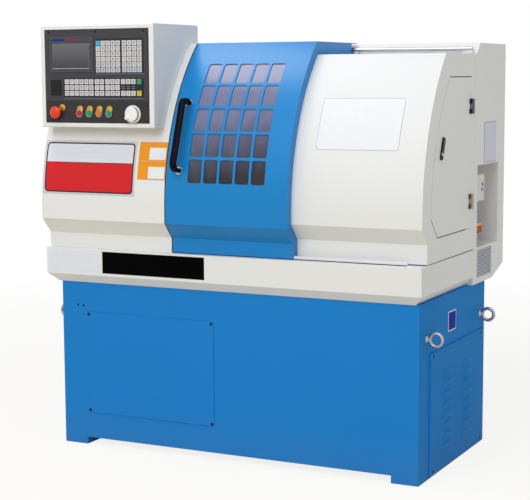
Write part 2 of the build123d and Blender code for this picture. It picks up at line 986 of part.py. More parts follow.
# Right cover: curved sheet set inside the door's path, with an end wall and a door opening
with BuildPart() as right_cover:
    right_span = cover_right - right_cover_left
    extrude(
        cover_section(right_cover_left, right_cover_inset, right_roof_z, cover_back, tray_top),
        amount=right_span,
    )
    extrude(
        cover_section(
            right_cover_left - overrun,
            right_cover_inset + cover_wall,
            right_roof_z - cover_wall,
            cover_back + overrun,
            tray_top - overrun,
        ),
        amount=right_span + overrun - cover_wall,
        mode=Mode.SUBTRACT,
    )
    extrude(
        side_door_sketch(cover_right - cover_wall, hinge_gap), amount=cover_wall, mode=Mode.SUBTRACT
    )
right_cover.part.label = "right_cover"
export_step(right_cover.part, "parts/right_cover.step")

# Hinges: fixed leaf with two knuckles and a pin, swinging leaf with the middle knuckle
side_hinge_x = cover_right + hinge_knuckle_radius + hinge_gap
side_hinge_y = cover_back - side_door_rear_gap + hinge_gap
rear_hinge_x = left + rear_door_start - hinge_gap
rear_hinge_y = housing_back + hinge_knuckle_radius + hinge_gap
hinge_middle = hinge_height * hinge_middle_share
side_hinge_heights = (side_hinge_bottom_z, side_hinge_top_z)
rear_hinge_heights = (
    rear_door_bottom + rear_hinge_inset,
    rear_door_bottom + rear_door_height - rear_hinge_inset,
)


def hinge_half(axis_x, axis_y, z, leaf_x, leaf_y, fixed):
    """One half of a butt hinge about a vertical pin; leaf_x and leaf_y are its leaf's spans."""
    low = z - hinge_height / 2
    middle_low = z - hinge_middle / 2
    spans = ((low, middle_low - hinge_end_gap), (z + hinge_middle / 2 + hinge_end_gap, low + hinge_height))
    if not fixed:
        spans = ((middle_low, middle_low + hinge_middle),)
    for span in spans:
        block(leaf_x, leaf_y, span)
        turned(
            (axis_x, axis_y, span[0]),
            (0, 0, 1),
            ((0, hinge_knuckle_radius), (span[1] - span[0], hinge_knuckle_radius)),
        )
        turned(
            (axis_x, axis_y, span[0]),
            (0, 0, 1),
            ((0, hinge_pin_radius + hinge_clearance),
             (span[1] - span[0], hinge_pin_radius + hinge_clearance)),
            mode=Mode.SUBTRACT,
        )
    if fixed:
        turned(
            (axis_x, axis_y, low), (0, 0, 1), ((0, hinge_pin_radius), (hinge_height, hinge_pin_radius))
        )
        for span in spans:
            turned(
                (axis_x, axis_y, span[0]),
                (0, 0, 1),
                ((0, hinge_knuckle_radius), (span[1] - span[0], hinge_knuckle_radius)),
            )


with BuildPart() as cabinet_hinges:
    for hinge_z in side_hinge_heights:
        hinge_half(
            side_hinge_x,
            side_hinge_y,
            hinge_z,
            (cover_right, cover_right + hinge_leaf),
            (side_hinge_y, side_hinge_y + hinge_leaf_width),
            True,
        )
        block(
            (cover_right, side_hinge_x),
            (side_hinge_y + hinge_gap, side_hinge_y + hinge_knuckle_radius),
            (hinge_z - hinge_height / 2, hinge_z - hinge_middle / 2 - hinge_end_gap),
        )
        block(
            (cover_right, side_hinge_x),
            (side_hinge_y + hinge_gap, side_hinge_y + hinge_knuckle_radius),
            (hinge_z + hinge_middle / 2 + hinge_end_gap, hinge_z + hinge_height / 2),
        )
    for hinge_z in rear_hinge_heights:
        hinge_half(
            rear_hinge_x,
            rear_hinge_y,
            hinge_z,
            (rear_hinge_x - hinge_leaf_width, rear_hinge_x),
            (housing_back, housing_back + hinge_leaf),
            True,
        )
        block(
            (rear_hinge_x - hinge_knuckle_radius, rear_hinge_x - hinge_gap),
            (housing_back, rear_hinge_y),
            (hinge_z - hinge_height / 2, hinge_z - hinge_middle / 2 - hinge_end_gap),
        )
        block(
            (rear_hinge_x - hinge_knuckle_radius, rear_hinge_x - hinge_gap),
            (housing_back, rear_hinge_y),
            (hinge_z + hinge_middle / 2 + hinge_end_gap, hinge_z + hinge_height / 2),
        )
cabinet_hinges.part.label = "cabinet_hinges"
export_step(cabinet_hinges.part, "parts/cabinet_hinges.step")

# Side access door: sheet flush in its opening, with its half of the hinges and the latch's hole
latch_y = cover_back - latch_setback
with BuildPart() as side_access_door:
    extrude(side_door_sketch(cover_right - cover_wall, 0), amount=cover_wall)
    for hinge_z in side_hinge_heights:
        hinge_half(
            side_hinge_x,
            side_hinge_y,
            hinge_z,
            (cover_right, cover_right + hinge_leaf),
            (side_hinge_y - hinge_leaf_width, side_hinge_y - hinge_gap),
            False,
        )
        block(
            (cover_right, side_hinge_x),
            (side_hinge_y - hinge_knuckle_radius, side_hinge_y - hinge_pin_radius - hinge_gap),
            (hinge_z - hinge_middle / 2, hinge_z + hinge_middle / 2),
        )
    turned(
        (cover_right - cover_wall, latch_y, latch_z),
        (1, 0, 0),
        ((0, latch_shaft_radius + latch_shaft_clearance),
         (cover_wall, latch_shaft_radius + latch_shaft_clearance)),
        mode=Mode.SUBTRACT,
    )
side_access_door.part.label = "side_access_door"
export_step(side_access_door.part, "parts/side_access_door.step")

# Side door latch: flat lever on a shaft through the door, leaning with the door's curved edge
with BuildPart() as side_door_latch:
    latch_lift = latch_length * latch_pivot_share
    with BuildSketch(end_plane(cover_right + hinge_end_gap)):
        with Locations((
            latch_y + latch_lift * sin(radians(latch_tilt_angle)),
            latch_z + latch_lift * cos(radians(latch_tilt_angle)),
        )):
            SlotOverall(latch_length, latch_width, rotation=90 - latch_tilt_angle)
    extrude(amount=latch_sheet)
    turned(
        (cover_right - 2 * cover_wall, latch_y, latch_z),
        (1, 0, 0),
        ((0, latch_shaft_radius), (2 * cover_wall + hinge_end_gap, latch_shaft_radius)),
    )
side_door_latch.part.label = "side_door_latch"
export_step(side_door_latch.part, "parts/side_door_latch.step")

# Rear housing: closed sheet box behind the covers, with a recess in its right end
with BuildPart() as rear_housing:
    with BuildSketch(end_plane(cover_left)) as housing_outline:
        with BuildLine():
            Polyline(
                (housing_front, stand_height),
                (housing_back - housing_overhang_run, stand_height),
                (housing_back, stand_height + housing_overhang_rise),
                (housing_back, housing_top),
                (housing_front + housing_ledge + housing_slant_run, housing_top),
                (housing_front + housing_ledge, housing_ledge_z),
                (housing_front, housing_ledge_z),
                close=True,
            )
        make_face()
    extrude(amount=cover_right - cover_left)
    with BuildSketch(end_plane(cover_left + housing_wall)):
        add(housing_outline.sketch_local)
        offset(amount=-housing_wall, kind=Kind.INTERSECTION)
    extrude(amount=cover_right - cover_left - 2 * housing_wall, mode=Mode.SUBTRACT)
    block(
        (recess_back_x - housing_wall, cover_right),
        (recess_front - housing_wall, recess_front + recess_width + housing_wall),
        (recess_floor - housing_wall, recess_floor + recess_height + housing_wall),
    )
    block(
        (recess_back_x, cover_right),
        (recess_front, recess_front + recess_width),
        (recess_floor, recess_floor + recess_height),
        Mode.SUBTRACT,
    )
    block(
        (left + rear_door_start - hinge_gap, left + rear_door_start + rear_door_width + hinge_gap),
        (housing_back - housing_wall, housing_back),
        (rear_door_bottom - hinge_gap, rear_door_bottom + rear_door_height + hinge_gap),
        Mode.SUBTRACT,
    )
rear_housing.part.label = "rear_housing"
export_step(rear_housing.part, "parts/rear_housing.step")

# Rear cabinet door: sheet flush in its opening, with its half of the hinges
with BuildPart() as rear_cabinet_door:
    block(
        (left + rear_door_start + hinge_gap, left + rear_door_start + rear_door_width),
        (housing_back - housing_wall, housing_back),
        (rear_door_bottom, rear_door_bottom + rear_door_height),
    )
    for hinge_z in rear_hinge_heights:
        hinge_half(
            rear_hinge_x,
            rear_hinge_y,
            hinge_z,
            (rear_hinge_x + 2 * hinge_gap, rear_hinge_x + hinge_leaf_width),
            (housing_back, housing_back + hinge_leaf),
            False,
        )
        block(
            (rear_hinge_x + hinge_pin_radius + hinge_gap, rear_hinge_x + hinge_knuckle_radius),
            (housing_back, rear_hinge_y),
            (hinge_z - hinge_middle / 2, hinge_z + hinge_middle / 2),
        )
rear_cabinet_door.part.label = "rear_cabinet_door"
export_step(rear_cabinet_door.part, "parts/rear_cabinet_door.step")

# Control pendant: sheet box whose open back is cut to the headstock cover's curve
fascia_width = screen_start + screen_width + pad_gap + upper_pad_width + pad_end_gap
screen_bottom = lower_pad_bottom + lower_pad_height + screen_gap
fascia_height = screen_bottom + screen_height + fascia_top_gap
pendant_width = fascia_width + 2 * fascia_margin_x
pendant_height = fascia_height + 2 * fascia_margin_z
pendant_left = door_left - pendant_door_gap - pendant_width
pendant_front = belly_y - pendant_forward
pendant_back = pendant_front + pendant_depth
pendant_top = pendant_bottom + pendant_height
fascia_x = pendant_left + pendant_width / 2
fascia_z = pendant_bottom + pendant_height / 2
fascia_left = pendant_left + fascia_margin_x
fascia_bottom = pendant_bottom + fascia_margin_z
fascia_front = pendant_front - fascia_proud
fascia_back = fascia_front + fascia_sheet
with BuildPart() as pendant_box:
    block((pendant_left, pendant_left + pendant_width), (pendant_front, pendant_back),
          (pendant_bottom, pendant_top))
    fillet(pendant_box.faces().sort_by(Axis.Y)[0].edges(), radius=pendant_corner)
    block(
        (pendant_left + pendant_wall, pendant_left + pendant_width - pendant_wall),
        (fascia_back + pendant_wall, pendant_back - pendant_wall),
        (pendant_bottom + pendant_wall, pendant_top - pendant_wall),
        Mode.SUBTRACT,
    )
    with BuildSketch(front_plane(fascia_back)):
        with Locations((fascia_x, fascia_z)):
            Rectangle(fascia_width + 2 * fascia_gap, fascia_height + 2 * fascia_gap)
    extrude(amount=fascia_sheet, mode=Mode.SUBTRACT)
    with BuildSketch(front_plane(fascia_back + pendant_wall)):
        with Locations((fascia_x, fascia_z)):
            Rectangle(fascia_width - 2 * fascia_lip, fascia_height - 2 * fascia_lip)
    extrude(amount=pendant_wall, mode=Mode.SUBTRACT)
    extrude(
        cover_section(
            pendant_left - overrun,
            -pendant_seat_gap,
            roof_z + pendant_seat_gap,
            cover_back,
            tray_top,
        ),
        amount=pendant_width + 2 * overrun,
        mode=Mode.SUBTRACT,
    )
pendant_box.part.label = "pendant_box"
export_step(pendant_box.part, "parts/pendant_box.step")

# Control fascia: plate in the pendant's front with holes for the controls and a raised port cover
button_places = [
    (fascia_left + button_first_x + index * button_pitch, fascia_bottom + button_z) for index in range(4)
]
stop_place = (fascia_left + stop_x, fascia_bottom + stop_z)
dial_place = (fascia_left + fascia_width - dial_from_end, fascia_bottom + dial_z)
with BuildPart() as control_fascia:
    with BuildSketch(front_plane(fascia_back)):
        with Locations((fascia_x, fascia_z)):
            Rectangle(fascia_width, fascia_height)
        with Locations(*button_places):
            Circle(button_radius + button_clearance, mode=Mode.SUBTRACT)
        with Locations(stop_place):
            Circle(stop_stem_radius + button_clearance, mode=Mode.SUBTRACT)
        with Locations(dial_place):
            Circle(dial_shaft_radius + dial_shaft_clearance, mode=Mode.SUBTRACT)
    extrude(amount=fascia_sheet)
    with BuildSketch(front_plane(fascia_front)):
        with Locations(
            (fascia_left + port_start + port_width / 2, fascia_bottom + port_bottom + port_height / 2)
        ):
            RectangleRounded(port_width, port_height, port_corner)
    extrude(amount=port_proud, taper=port_taper_angle)
control_fascia.part.label = "control_fascia"
export_step(control_fascia.part, "parts/control_fascia.step")

# Screen bezel and screen glass
screen_x = fascia_left + screen_start + screen_width / 2
screen_z = fascia_bottom + screen_bottom + screen_height / 2
glass_width = screen_width - screen_border_left - screen_border_right
glass_x = fascia_left + screen_start + screen_border_left + glass_width / 2
glass_height = screen_height - screen_border_bottom - screen_border_top
glass_z = fascia_bottom + screen_bottom + screen_border_bottom + glass_height / 2
with BuildPart() as screen_bezel:
    with BuildSketch(front_plane(fascia_front)):
        with Locations((screen_x, screen_z)):
            RectangleRounded(screen_width, screen_height, screen_corner)
        with Locations((glass_x, glass_z)):
            Rectangle(glass_width, glass_height, mode=Mode.SUBTRACT)
    extrude(amount=screen_proud)
screen_bezel.part.label = "screen_bezel"
export_step(screen_bezel.part, "parts/screen_bezel.step")

with BuildPart() as screen_glass:
    with BuildSketch(front_plane(fascia_front)):
        with Locations((glass_x, glass_z)):
            Rectangle(glass_width - fascia_gap, glass_height - fascia_gap)
    extrude(amount=glass_sheet)
screen_glass.part.label = "screen_glass"
export_step(screen_glass.part, "parts/screen_glass.step")


# Keypads: membrane sheets with raised keys
def key_grid(x, z, columns, rows, width, depth, pitch_x, pitch_z):
    """Sketch of keys in a grid whose lower left key has its corner at x and z."""
    with BuildSketch(front_plane(fascia_front - keypad_sheet)) as keys:
        with Locations((x + ((columns - 1) * pitch_x + width) / 2, z + ((rows - 1) * pitch_z + depth) / 2)):
            with GridLocations(pitch_x, pitch_z, columns, rows):
                Rectangle(width, depth)
    return keys.sketch


with BuildPart() as upper_keypad:
    upper_left = fascia_left + screen_start + screen_width + pad_gap
    upper_bottom = fascia_bottom + lower_pad_bottom + lower_pad_height + upper_pad_gap
    with BuildSketch(front_plane(fascia_front)):
        with Locations((upper_left + upper_pad_width / 2, upper_bottom + upper_pad_height / 2)):
            RectangleRounded(upper_pad_width, upper_pad_height, screen_corner)
    extrude(amount=keypad_sheet)
    for block_inset, columns in ((letter_block_inset, letter_columns), (number_block_inset, number_columns)):
        extrude(
            key_grid(
                upper_left + block_inset,
                upper_bottom + upper_block_bottom,
                columns,
                upper_rows,
                key_width,
                key_depth,
                key_pitch_x,
                key_pitch_z,
            ),
            amount=key_height,
        )
upper_keypad.part.label = "upper_keypad"
export_step(upper_keypad.part, "parts/upper_keypad.step")

with BuildPart() as lower_keypad:
    lower_left = fascia_left + lower_pad_start
    lower_pad_width = fascia_width - lower_pad_start - pad_end_gap
    lower_bottom = fascia_bottom + lower_pad_bottom
    with BuildSketch(front_plane(fascia_front)):
        with Locations((lower_left + lower_pad_width / 2, lower_bottom + lower_pad_height / 2)):
            RectangleRounded(lower_pad_width, lower_pad_height, screen_corner)
    extrude(amount=keypad_sheet)
    group_left = lower_left + lower_group_start
    for index, columns in enumerate(lower_group_columns):
        rows = lower_rows if index < lower_full_group_count else lower_open_rows
        extrude(
            key_grid(
                group_left,
                lower_bottom + lower_block_bottom,
                columns,
                rows,
                lower_key_width,
                lower_key_depth,
                lower_pitch_x,
                lower_pitch_z * (lower_rows - 1) / (rows - 1),
            ),
            amount=key_height,
        )
        group_left += columns * lower_pitch_x + lower_group_gap
lower_keypad.part.label = "lower_keypad"
export_step(lower_keypad.part, "parts/lower_keypad.step")

# Bezel rings round the buttons
with BuildPart() as button_bezels:
    with BuildSketch(front_plane(fascia_front)):
        with Locations(*button_places):
            Circle(button_bezel_radius)
            Circle(button_radius + button_clearance, mode=Mode.SUBTRACT)
    extrude(amount=button_bezel_height)
    with BuildSketch(front_plane(fascia_front)):
        with Locations(stop_place):
            Circle(stop_bezel_radius)
            Circle(stop_stem_radius + button_clearance, mode=Mode.SUBTRACT)
    extrude(amount=stop_bezel_height)
button_bezels.part.label = "button_bezels"
export_step(button_bezels.part, "parts/button_bezels.step")

# Stop button: mushroom head on a stem
to_operator = (0, -1, 0)
with BuildPart() as stop_button:
    head_base = stop_bezel_height + stop_travel + button_clearance
    turned(
        (stop_place[0], fascia_front, stop_place[1]),
        to_operator,
        (
            (-button_stem, stop_stem_radius),
            (head_base, stop_stem_radius),
            (head_base, stop_radius),
            (head_base + stop_head / 2, stop_radius),
            (head_base + stop_head, stop_stem_radius),
        ),
    )
stop_button.part.label = "stop_button"
export_step(stop_button.part, "parts/stop_button.step")

# Push buttons: capped stems in the bezels
for (button_x, button_height), button_name in zip(
    button_places, ("red_button", "green_button", "orange_button", "green_button_right")
):
    with BuildPart() as push_button:
        turned(
            (button_x, fascia_front, button_height),
            to_operator,
            (
                (-button_stem, button_radius),
                (button_bezel_height + button_proud - button_clearance, button_radius),
                (button_bezel_height + button_proud, button_radius - button_clearance),
            ),
        )
    push_button.part.label = button_name
    export_step(push_button.part, f"parts/{button_name}.step")

# Pulse handwheel: flange and drum on a shaft, with a finger knob
with BuildPart() as pulse_handwheel:
    turned(
        (dial_place[0], fascia_front, dial_place[1]),
        to_operator,
        (
            (-button_stem, dial_shaft_radius),
            (dial_seat_gap, dial_shaft_radius),
            (dial_seat_gap, dial_radius),
            (dial_flange, dial_radius),
            (dial_flange, dial_drum_radius),
            (dial_height - dial_edge, dial_drum_radius),
            (dial_height, dial_drum_radius - dial_edge),
        ),
    )
    knob_ring = dial_radius * dial_knob_ring_share
    turned(
        (
            dial_place[0] + knob_ring * cos(radians(dial_knob_angle)),
            fascia_front,
            dial_place[1] + knob_ring * sin(radians(dial_knob_angle)),
        ),
        to_operator,
        (
            (dial_height / 2, dial_knob_radius),
            (dial_height + dial_knob_height - dial_edge, dial_knob_radius),
            (dial_height + dial_knob_height, dial_knob_radius - dial_edge),
        ),
    )
pulse_handwheel.part.label = "pulse_handwheel"
export_step(pulse_handwheel.part, "parts/pulse_handwheel.step")

# Bed casting: two webs with flat and vee ways on a wide foot, tied by ribs
with BuildPart() as bed_casting:
    web_y = bed_width / 2 - way_width / 2
    with BuildSketch(end_plane(bed_left)):
        with Locations((spindle_y, floor_top + bed_foot_height / 2)):
            Rectangle(bed_width + 2 * bed_foot_lip, bed_foot_height)
        with Locations((spindle_y - web_y, floor_top + bed_height / 2),
                       (spindle_y + web_y, floor_top + bed_height / 2)):
            Rectangle(bed_web, bed_height)
        with Locations((spindle_y - web_y, bed_top - way_height / 2),
                       (spindle_y + web_y, bed_top - way_height / 2)):
            Rectangle(way_width, way_height)
    extrude(amount=bed_right - bed_left)
    extrude(vee_section(bed_left, 0), amount=bed_right - bed_left)
    rib_pitch = (bed_right - bed_left - bed_rib) / (bed_rib_count - 1)
    for index in range(bed_rib_count):
        rib_left = bed_left + index * rib_pitch
        block(
            (rib_left, rib_left + bed_rib),
            (spindle_y - web_y, spindle_y + web_y),
            (floor_top + bed_foot_height, floor_top + bed_height * bed_rib_share),
        )
bed_casting.part.label = "bed_casting"
export_step(bed_casting.part, "parts/bed_casting.step")

# Headstock casting: round-shouldered box on the ways, bored for the spindle bearings
with BuildPart() as headstock_casting:
    with BuildSketch(end_plane(bed_left)):
        with Locations((spindle_y, (bed_top + spindle_z + headstock_above_axis) / 2)):
            Rectangle(headstock_width, centre_height + headstock_above_axis)
    extrude(amount=headstock_length)
    shoulder_edges = headstock_casting.faces().sort_by(Axis.Z)[-1].edges().filter_by(Axis.X)
    fillet(shoulder_edges, radius=headstock_corner)
    extrude(vee_section(bed_left, way_gap), amount=headstock_length, mode=Mode.SUBTRACT)
    turned(
        (bed_left, spindle_y, spindle_z),
        (1, 0, 0),
        ((0, bearing_radius), (headstock_length, bearing_radius)),
        mode=Mode.SUBTRACT,
    )
headstock_casting.part.label = "headstock_casting"
export_step(headstock_casting.part, "parts/headstock_casting.step")

# Spindle bearings: one ring at each end of the headstock's bore
with BuildPart() as spindle_bearings:
    for bearing_left in (bed_left, headstock_right - bearing_width):
        turned(
            (bearing_left, spindle_y, spindle_z),
            (1, 0, 0),
            ((0, bearing_radius), (bearing_width, bearing_radius)),
            bore=spindle_radius + bearing_clearance,
        )
spindle_bearings.part.label = "spindle_bearings"
export_step(spindle_bearings.part, "parts/spindle_bearings.step")

# Spindle: hollow shaft with a flanged nose
spindle_left = bed_left - spindle_tail
with BuildPart() as spindle:
    turned(
        (spindle_left, spindle_y, spindle_z),
        (1, 0, 0),
        (
            (0, spindle_radius),
            (nose_left - spindle_left, spindle_radius),
            (nose_left - spindle_left, spindle_nose_radius),
            (chuck_left - spindle_left, spindle_nose_radius),
        ),
        bore=spindle_bore,
    )
spindle.part.label = "spindle"
export_step(spindle.part, "parts/spindle.step")


# Pulleys: flat rim between two flanges
def pulley(x_left, z, rim_radius, bore):
    """Belt pulley about an axis along the machine."""
    flange_radius = rim_radius + pulley_flange
    turned(
        (x_left, spindle_y, z),
        (1, 0, 0),
        (
            (0, flange_radius),
            (pulley_flange_width, flange_radius),
            (pulley_flange_width, rim_radius),
            (pulley_width - pulley_flange_width, rim_radius),
            (pulley_width - pulley_flange_width, flange_radius),
            (pulley_width, flange_radius),
        ),
        bore=bore,
    )


with BuildPart() as spindle_pulley:
    pulley(pulley_right - pulley_width, spindle_z, spindle_pulley_radius, spindle_radius)
spindle_pulley.part.label = "spindle_pulley"
export_step(spindle_pulley.part, "parts/spindle_pulley.step")

with BuildPart() as motor_pulley:
    pulley(pulley_right - pulley_width, motor_z, motor_pulley_radius, 0)
    turned(
        (pulley_right, spindle_y, motor_z),
        (1, 0, 0),
        ((0, motor_shaft_radius), (motor_gap + motor_shaft_depth, motor_shaft_radius)),
    )
motor_pulley.part.label = "motor_pulley"
export_step(motor_pulley.part, "parts/motor_pulley.step")

# Drive belt: flat loop round both pulleys
with BuildPart() as drive_belt:
    with BuildSketch(end_plane(pulley_middle - belt_width / 2)):
        with BuildSketch(mode=Mode.ADD):
            with Locations((spindle_y, spindle_z)):
                Circle(spindle_pulley_radius + belt_gap + belt_thickness)
            with Locations((spindle_y, motor_z)):
                Circle(motor_pulley_radius + belt_gap + belt_thickness)
            make_hull()
        with BuildSketch(mode=Mode.SUBTRACT):
            with Locations((spindle_y, spindle_z)):
                Circle(spindle_pulley_radius + belt_gap)
            with Locations((spindle_y, motor_z)):
                Circle(motor_pulley_radius + belt_gap)
            make_hull()
    extrude(amount=belt_width)
drive_belt.part.label = "drive_belt"
export_step(drive_belt.part, "parts/drive_belt.step")

# Spindle motor: ribbed frame with end bells on a foot
with BuildPart() as spindle_motor:
    rib_step = (motor_length - 2 * motor_bell_length) / (2 * motor_rib_count + 1)
    stations = [(0, motor_bell_radius), (motor_bell_length, motor_radius)]
    for index in range(motor_rib_count):
        groove = motor_bell_length + (2 * index + 1) * rib_step
        stations += [
            (groove, motor_radius),
            (groove, motor_radius - motor_rib),
            (groove + rib_step, motor_radius - motor_rib),
            (groove + rib_step, motor_radius),
        ]
    stations += [(motor_length - motor_bell_length, motor_radius), (motor_length, motor_bell_radius)]
    turned((motor_left, spindle_y, motor_z), (1, 0, 0), stations)
    foot_left = motor_left + (motor_length - motor_foot_length) / 2
    block(
        (foot_left, foot_left + motor_foot_length),
        (spindle_y - motor_foot_width / 2, spindle_y + motor_foot_width / 2),
        (stand_floor, stand_floor + motor_foot_height),
    )
    block(
        (foot_left, foot_left + motor_foot_length),
        (spindle_y - motor_pedestal_width / 2, spindle_y + motor_pedestal_width / 2),
        (stand_floor, motor_z),
    )
    turned(
        (motor_left, spindle_y, motor_z),
        (1, 0, 0),
        ((0, motor_shaft_radius + motor_shaft_clearance),
         (motor_shaft_depth + motor_shaft_clearance, motor_shaft_radius + motor_shaft_clearance)),
        mode=Mode.SUBTRACT,
    )
spindle_motor.part.label = "spindle_motor"
export_step(spindle_motor.part, "parts/spindle_motor.step")


# Chuck: round body with radial slots, and stepped jaws that slide in them
def jaw_plane(angle):
    """Plane through the spindle axis: sketch axes run outwards and along the spindle."""
    outward = (0, cos(radians(angle)), sin(radians(angle)))
    across = (0, sin(radians(angle)), -cos(radians(angle)))
    return Plane(origin=(0, spindle_y, spindle_z), x_dir=outward, z_dir=across)


jaw_angles = [90 + index * 360 / jaw_count for index in range(jaw_count)]
with BuildPart() as chuck_body:
    turned(
        (chuck_left, spindle_y, spindle_z),
        (1, 0, 0),
        (
            (0, chuck_radius - chuck_edge),
            (chuck_edge, chuck_radius),
            (chuck_length - chuck_edge, chuck_radius),
            (chuck_length, chuck_radius - chuck_edge),
        ),
        bore=chuck_bore,
    )
    for angle in jaw_angles:
        with BuildSketch(jaw_plane(angle)):
            with Locations((chuck_radius / 2 + overrun / 2, chuck_face - jaw_root / 2)):
                Rectangle(chuck_radius + overrun, jaw_root)
        extrude(amount=jaw_width / 2 + jaw_clearance, both=True, mode=Mode.SUBTRACT)
chuck_body.part.label = "chuck_body"
export_step(chuck_body.part, "parts/chuck_body.step")

for index, angle in enumerate(jaw_angles):
    with BuildPart() as chuck_jaw:
        with BuildSketch(jaw_plane(angle)):
            with BuildLine():
                Polyline(
                    (jaw_inner, chuck_face - jaw_root + jaw_clearance),
                    (jaw_inner, chuck_face + jaw_height),
                    (jaw_inner + jaw_step, chuck_face + jaw_height),
                    (jaw_inner + jaw_step, chuck_face + jaw_low_height),
                    (jaw_inner + jaw_length, chuck_face + jaw_low_height),
                    (jaw_inner + jaw_length, chuck_face - jaw_root + jaw_clearance),
                    close=True,
                )
            make_face()
        extrude(amount=jaw_width / 2, both=True)
    chuck_jaw.part.label = f"chuck_jaw_{index + 1}"
    export_step(chuck_jaw.part, f"parts/chuck_jaw_{index + 1}.step")

# Saddle: bridge over the ways with a channel for the cross screw and an apron with the feed nut
saddle_left = left + saddle_start
saddle_right = saddle_left + saddle_length
saddle_x = (saddle_left + saddle_right) / 2
saddle_front_y = bed_front - saddle_front
saddle_back_y = bed_back + saddle_back
saddle_bottom = bed_top + way_gap
saddle_top = saddle_bottom + saddle_height
feed_y = bed_front - feed_screw_forward
feed_z = bed_top - feed_screw_drop
cross_screw_z = saddle_bottom + cross_screw_height
channel_front_y = saddle_front_y + channel_front_wall
channel_back_y = saddle_back_y - channel_back_wall
with BuildPart() as carriage_saddle:
    block((saddle_left, saddle_right), (saddle_front_y, saddle_back_y), (saddle_bottom, saddle_top))
    block(
        (saddle_x - apron_length / 2, saddle_x + apron_length / 2),
        (saddle_front_y, bed_front - apron_gap),
        (saddle_bottom - apron_height, saddle_bottom),
    )
    extrude(vee_section(saddle_left, way_gap), amount=saddle_length, mode=Mode.SUBTRACT)
    block(
        (saddle_x - channel_width / 2, saddle_x + channel_width / 2),
        (channel_front_y, channel_back_y),
        (saddle_bottom + channel_floor, saddle_top),
        Mode.SUBTRACT,
    )
    turned(
        (saddle_x - apron_length / 2, feed_y, feed_z),
        (1, 0, 0),
        ((0, feed_screw_radius + screw_clearance), (apron_length, feed_screw_radius + screw_clearance)),
        mode=Mode.SUBTRACT,
    )
    cross_bore = cross_screw_radius + journal_clearance
    turned(
        (saddle_x, saddle_front_y, cross_screw_z),
        (0, 1, 0),
        ((0, cross_bore), (saddle_back_y - saddle_front_y, cross_bore)),
        mode=Mode.SUBTRACT,
    )
carriage_saddle.part.label = "carriage_saddle"
export_step(carriage_saddle.part, "parts/carriage_saddle.step")


# Servo motors: square body with rounded edges and a smaller end cap
def servo(plane, size, length, corner):
    """Square motor body that stands on a plane, with its end cap."""
    with BuildSketch(plane) as body_outline:
        RectangleRounded(size, size, corner)
    extrude(body_outline.sketch, amount=length)
    with BuildSketch(plane.offset(length)) as cap_outline:
        RectangleRounded(size * servo_cap_share, size * servo_cap_share, corner)
    extrude(cap_outline.sketch, amount=servo_cap_length)


with BuildPart() as cross_servo_motor:
    servo(
        Plane(origin=(saddle_x, saddle_front_y, cross_screw_z), x_dir=(1, 0, 0), z_dir=to_operator),
        cross_servo_size,
        cross_servo_length - servo_cap_length,
        cross_servo_corner,
    )
cross_servo_motor.part.label = "cross_servo_motor"
export_step(cross_servo_motor.part, "parts/cross_servo_motor.step")

# Cross ball screw in the saddle
with BuildPart() as cross_ball_screw:
    turned(
        (saddle_x, saddle_front_y + way_gap, cross_screw_z),
        (0, 1, 0),
        ((0, cross_screw_radius), (saddle_back_y - saddle_front_y - way_gap, cross_screw_radius)),
    )
cross_ball_screw.part.label = "cross_ball_screw"
export_step(cross_ball_screw.part, "parts/cross_ball_screw.step")

# Cross slide: plate with the cross nut below and the turret's round seat above
cross_bottom = saddle_top + way_gap
cross_top = cross_bottom + cross_height
turret_y = front + turret_setback
turret_seat = cross_top + turret_base_height
with BuildPart() as cross_slide:
    block(
        (saddle_x - cross_width / 2, saddle_x + cross_width / 2),
        (front + cross_front, front + cross_front + cross_length),
        (cross_bottom, cross_top),
    )
    nut_y = (channel_front_y + channel_back_y) / 2
    nut_half = channel_width / 2 - cross_nut_side_gap
    nut_bore = cross_screw_radius + screw_clearance
    block(
        (saddle_x - nut_half, saddle_x + nut_half),
        (nut_y - cross_nut_length / 2, nut_y + cross_nut_length / 2),
        (saddle_bottom + channel_floor + cross_nut_side_gap, cross_bottom),
    )
    turned(
        (saddle_x, nut_y - cross_nut_length / 2, cross_screw_z),
        (0, 1, 0),
        ((0, nut_bore), (cross_nut_length, nut_bore)),
        mode=Mode.SUBTRACT,
    )
    turned(
        (saddle_x, turret_y, cross_top),
        (0, 0, 1),
        ((0, turret_base_radius), (turret_base_height, turret_base_radius)),
    )
cross_slide.part.label = "cross_slide"
export_step(cross_slide.part, "parts/cross_slide.step")

# Tool turret: four-way block with an open tool slot along each side and a cap on top
turret_bottom = turret_seat + way_gap
tool_bottom = spindle_z - tool_size
with BuildPart() as tool_turret:
    with BuildSketch(level(turret_bottom)):
        with Locations((saddle_x, turret_y)):
            RectangleRounded(turret_size, turret_size, turret_corner)
    extrude(amount=turret_height)
    for side in range(4):
        with BuildSketch(level(tool_bottom)):
            with Locations(Location((saddle_x, turret_y, 0), (0, 0, side * 90))):
                with Locations((turret_size / 2 - tool_slot_depth / 2, 0)):
                    Rectangle(tool_slot_depth, turret_size + overrun)
        extrude(amount=tool_size + tool_slot_gap, mode=Mode.SUBTRACT)
    turned(
        (saddle_x, turret_y, turret_bottom + turret_height),
        (0, 0, 1),
        ((0, turret_cap_radius), (turret_cap_height, turret_cap_radius - turret_corner / 2)),
    )
tool_turret.part.label = "tool_turret"
export_step(tool_turret.part, "parts/tool_turret.step")

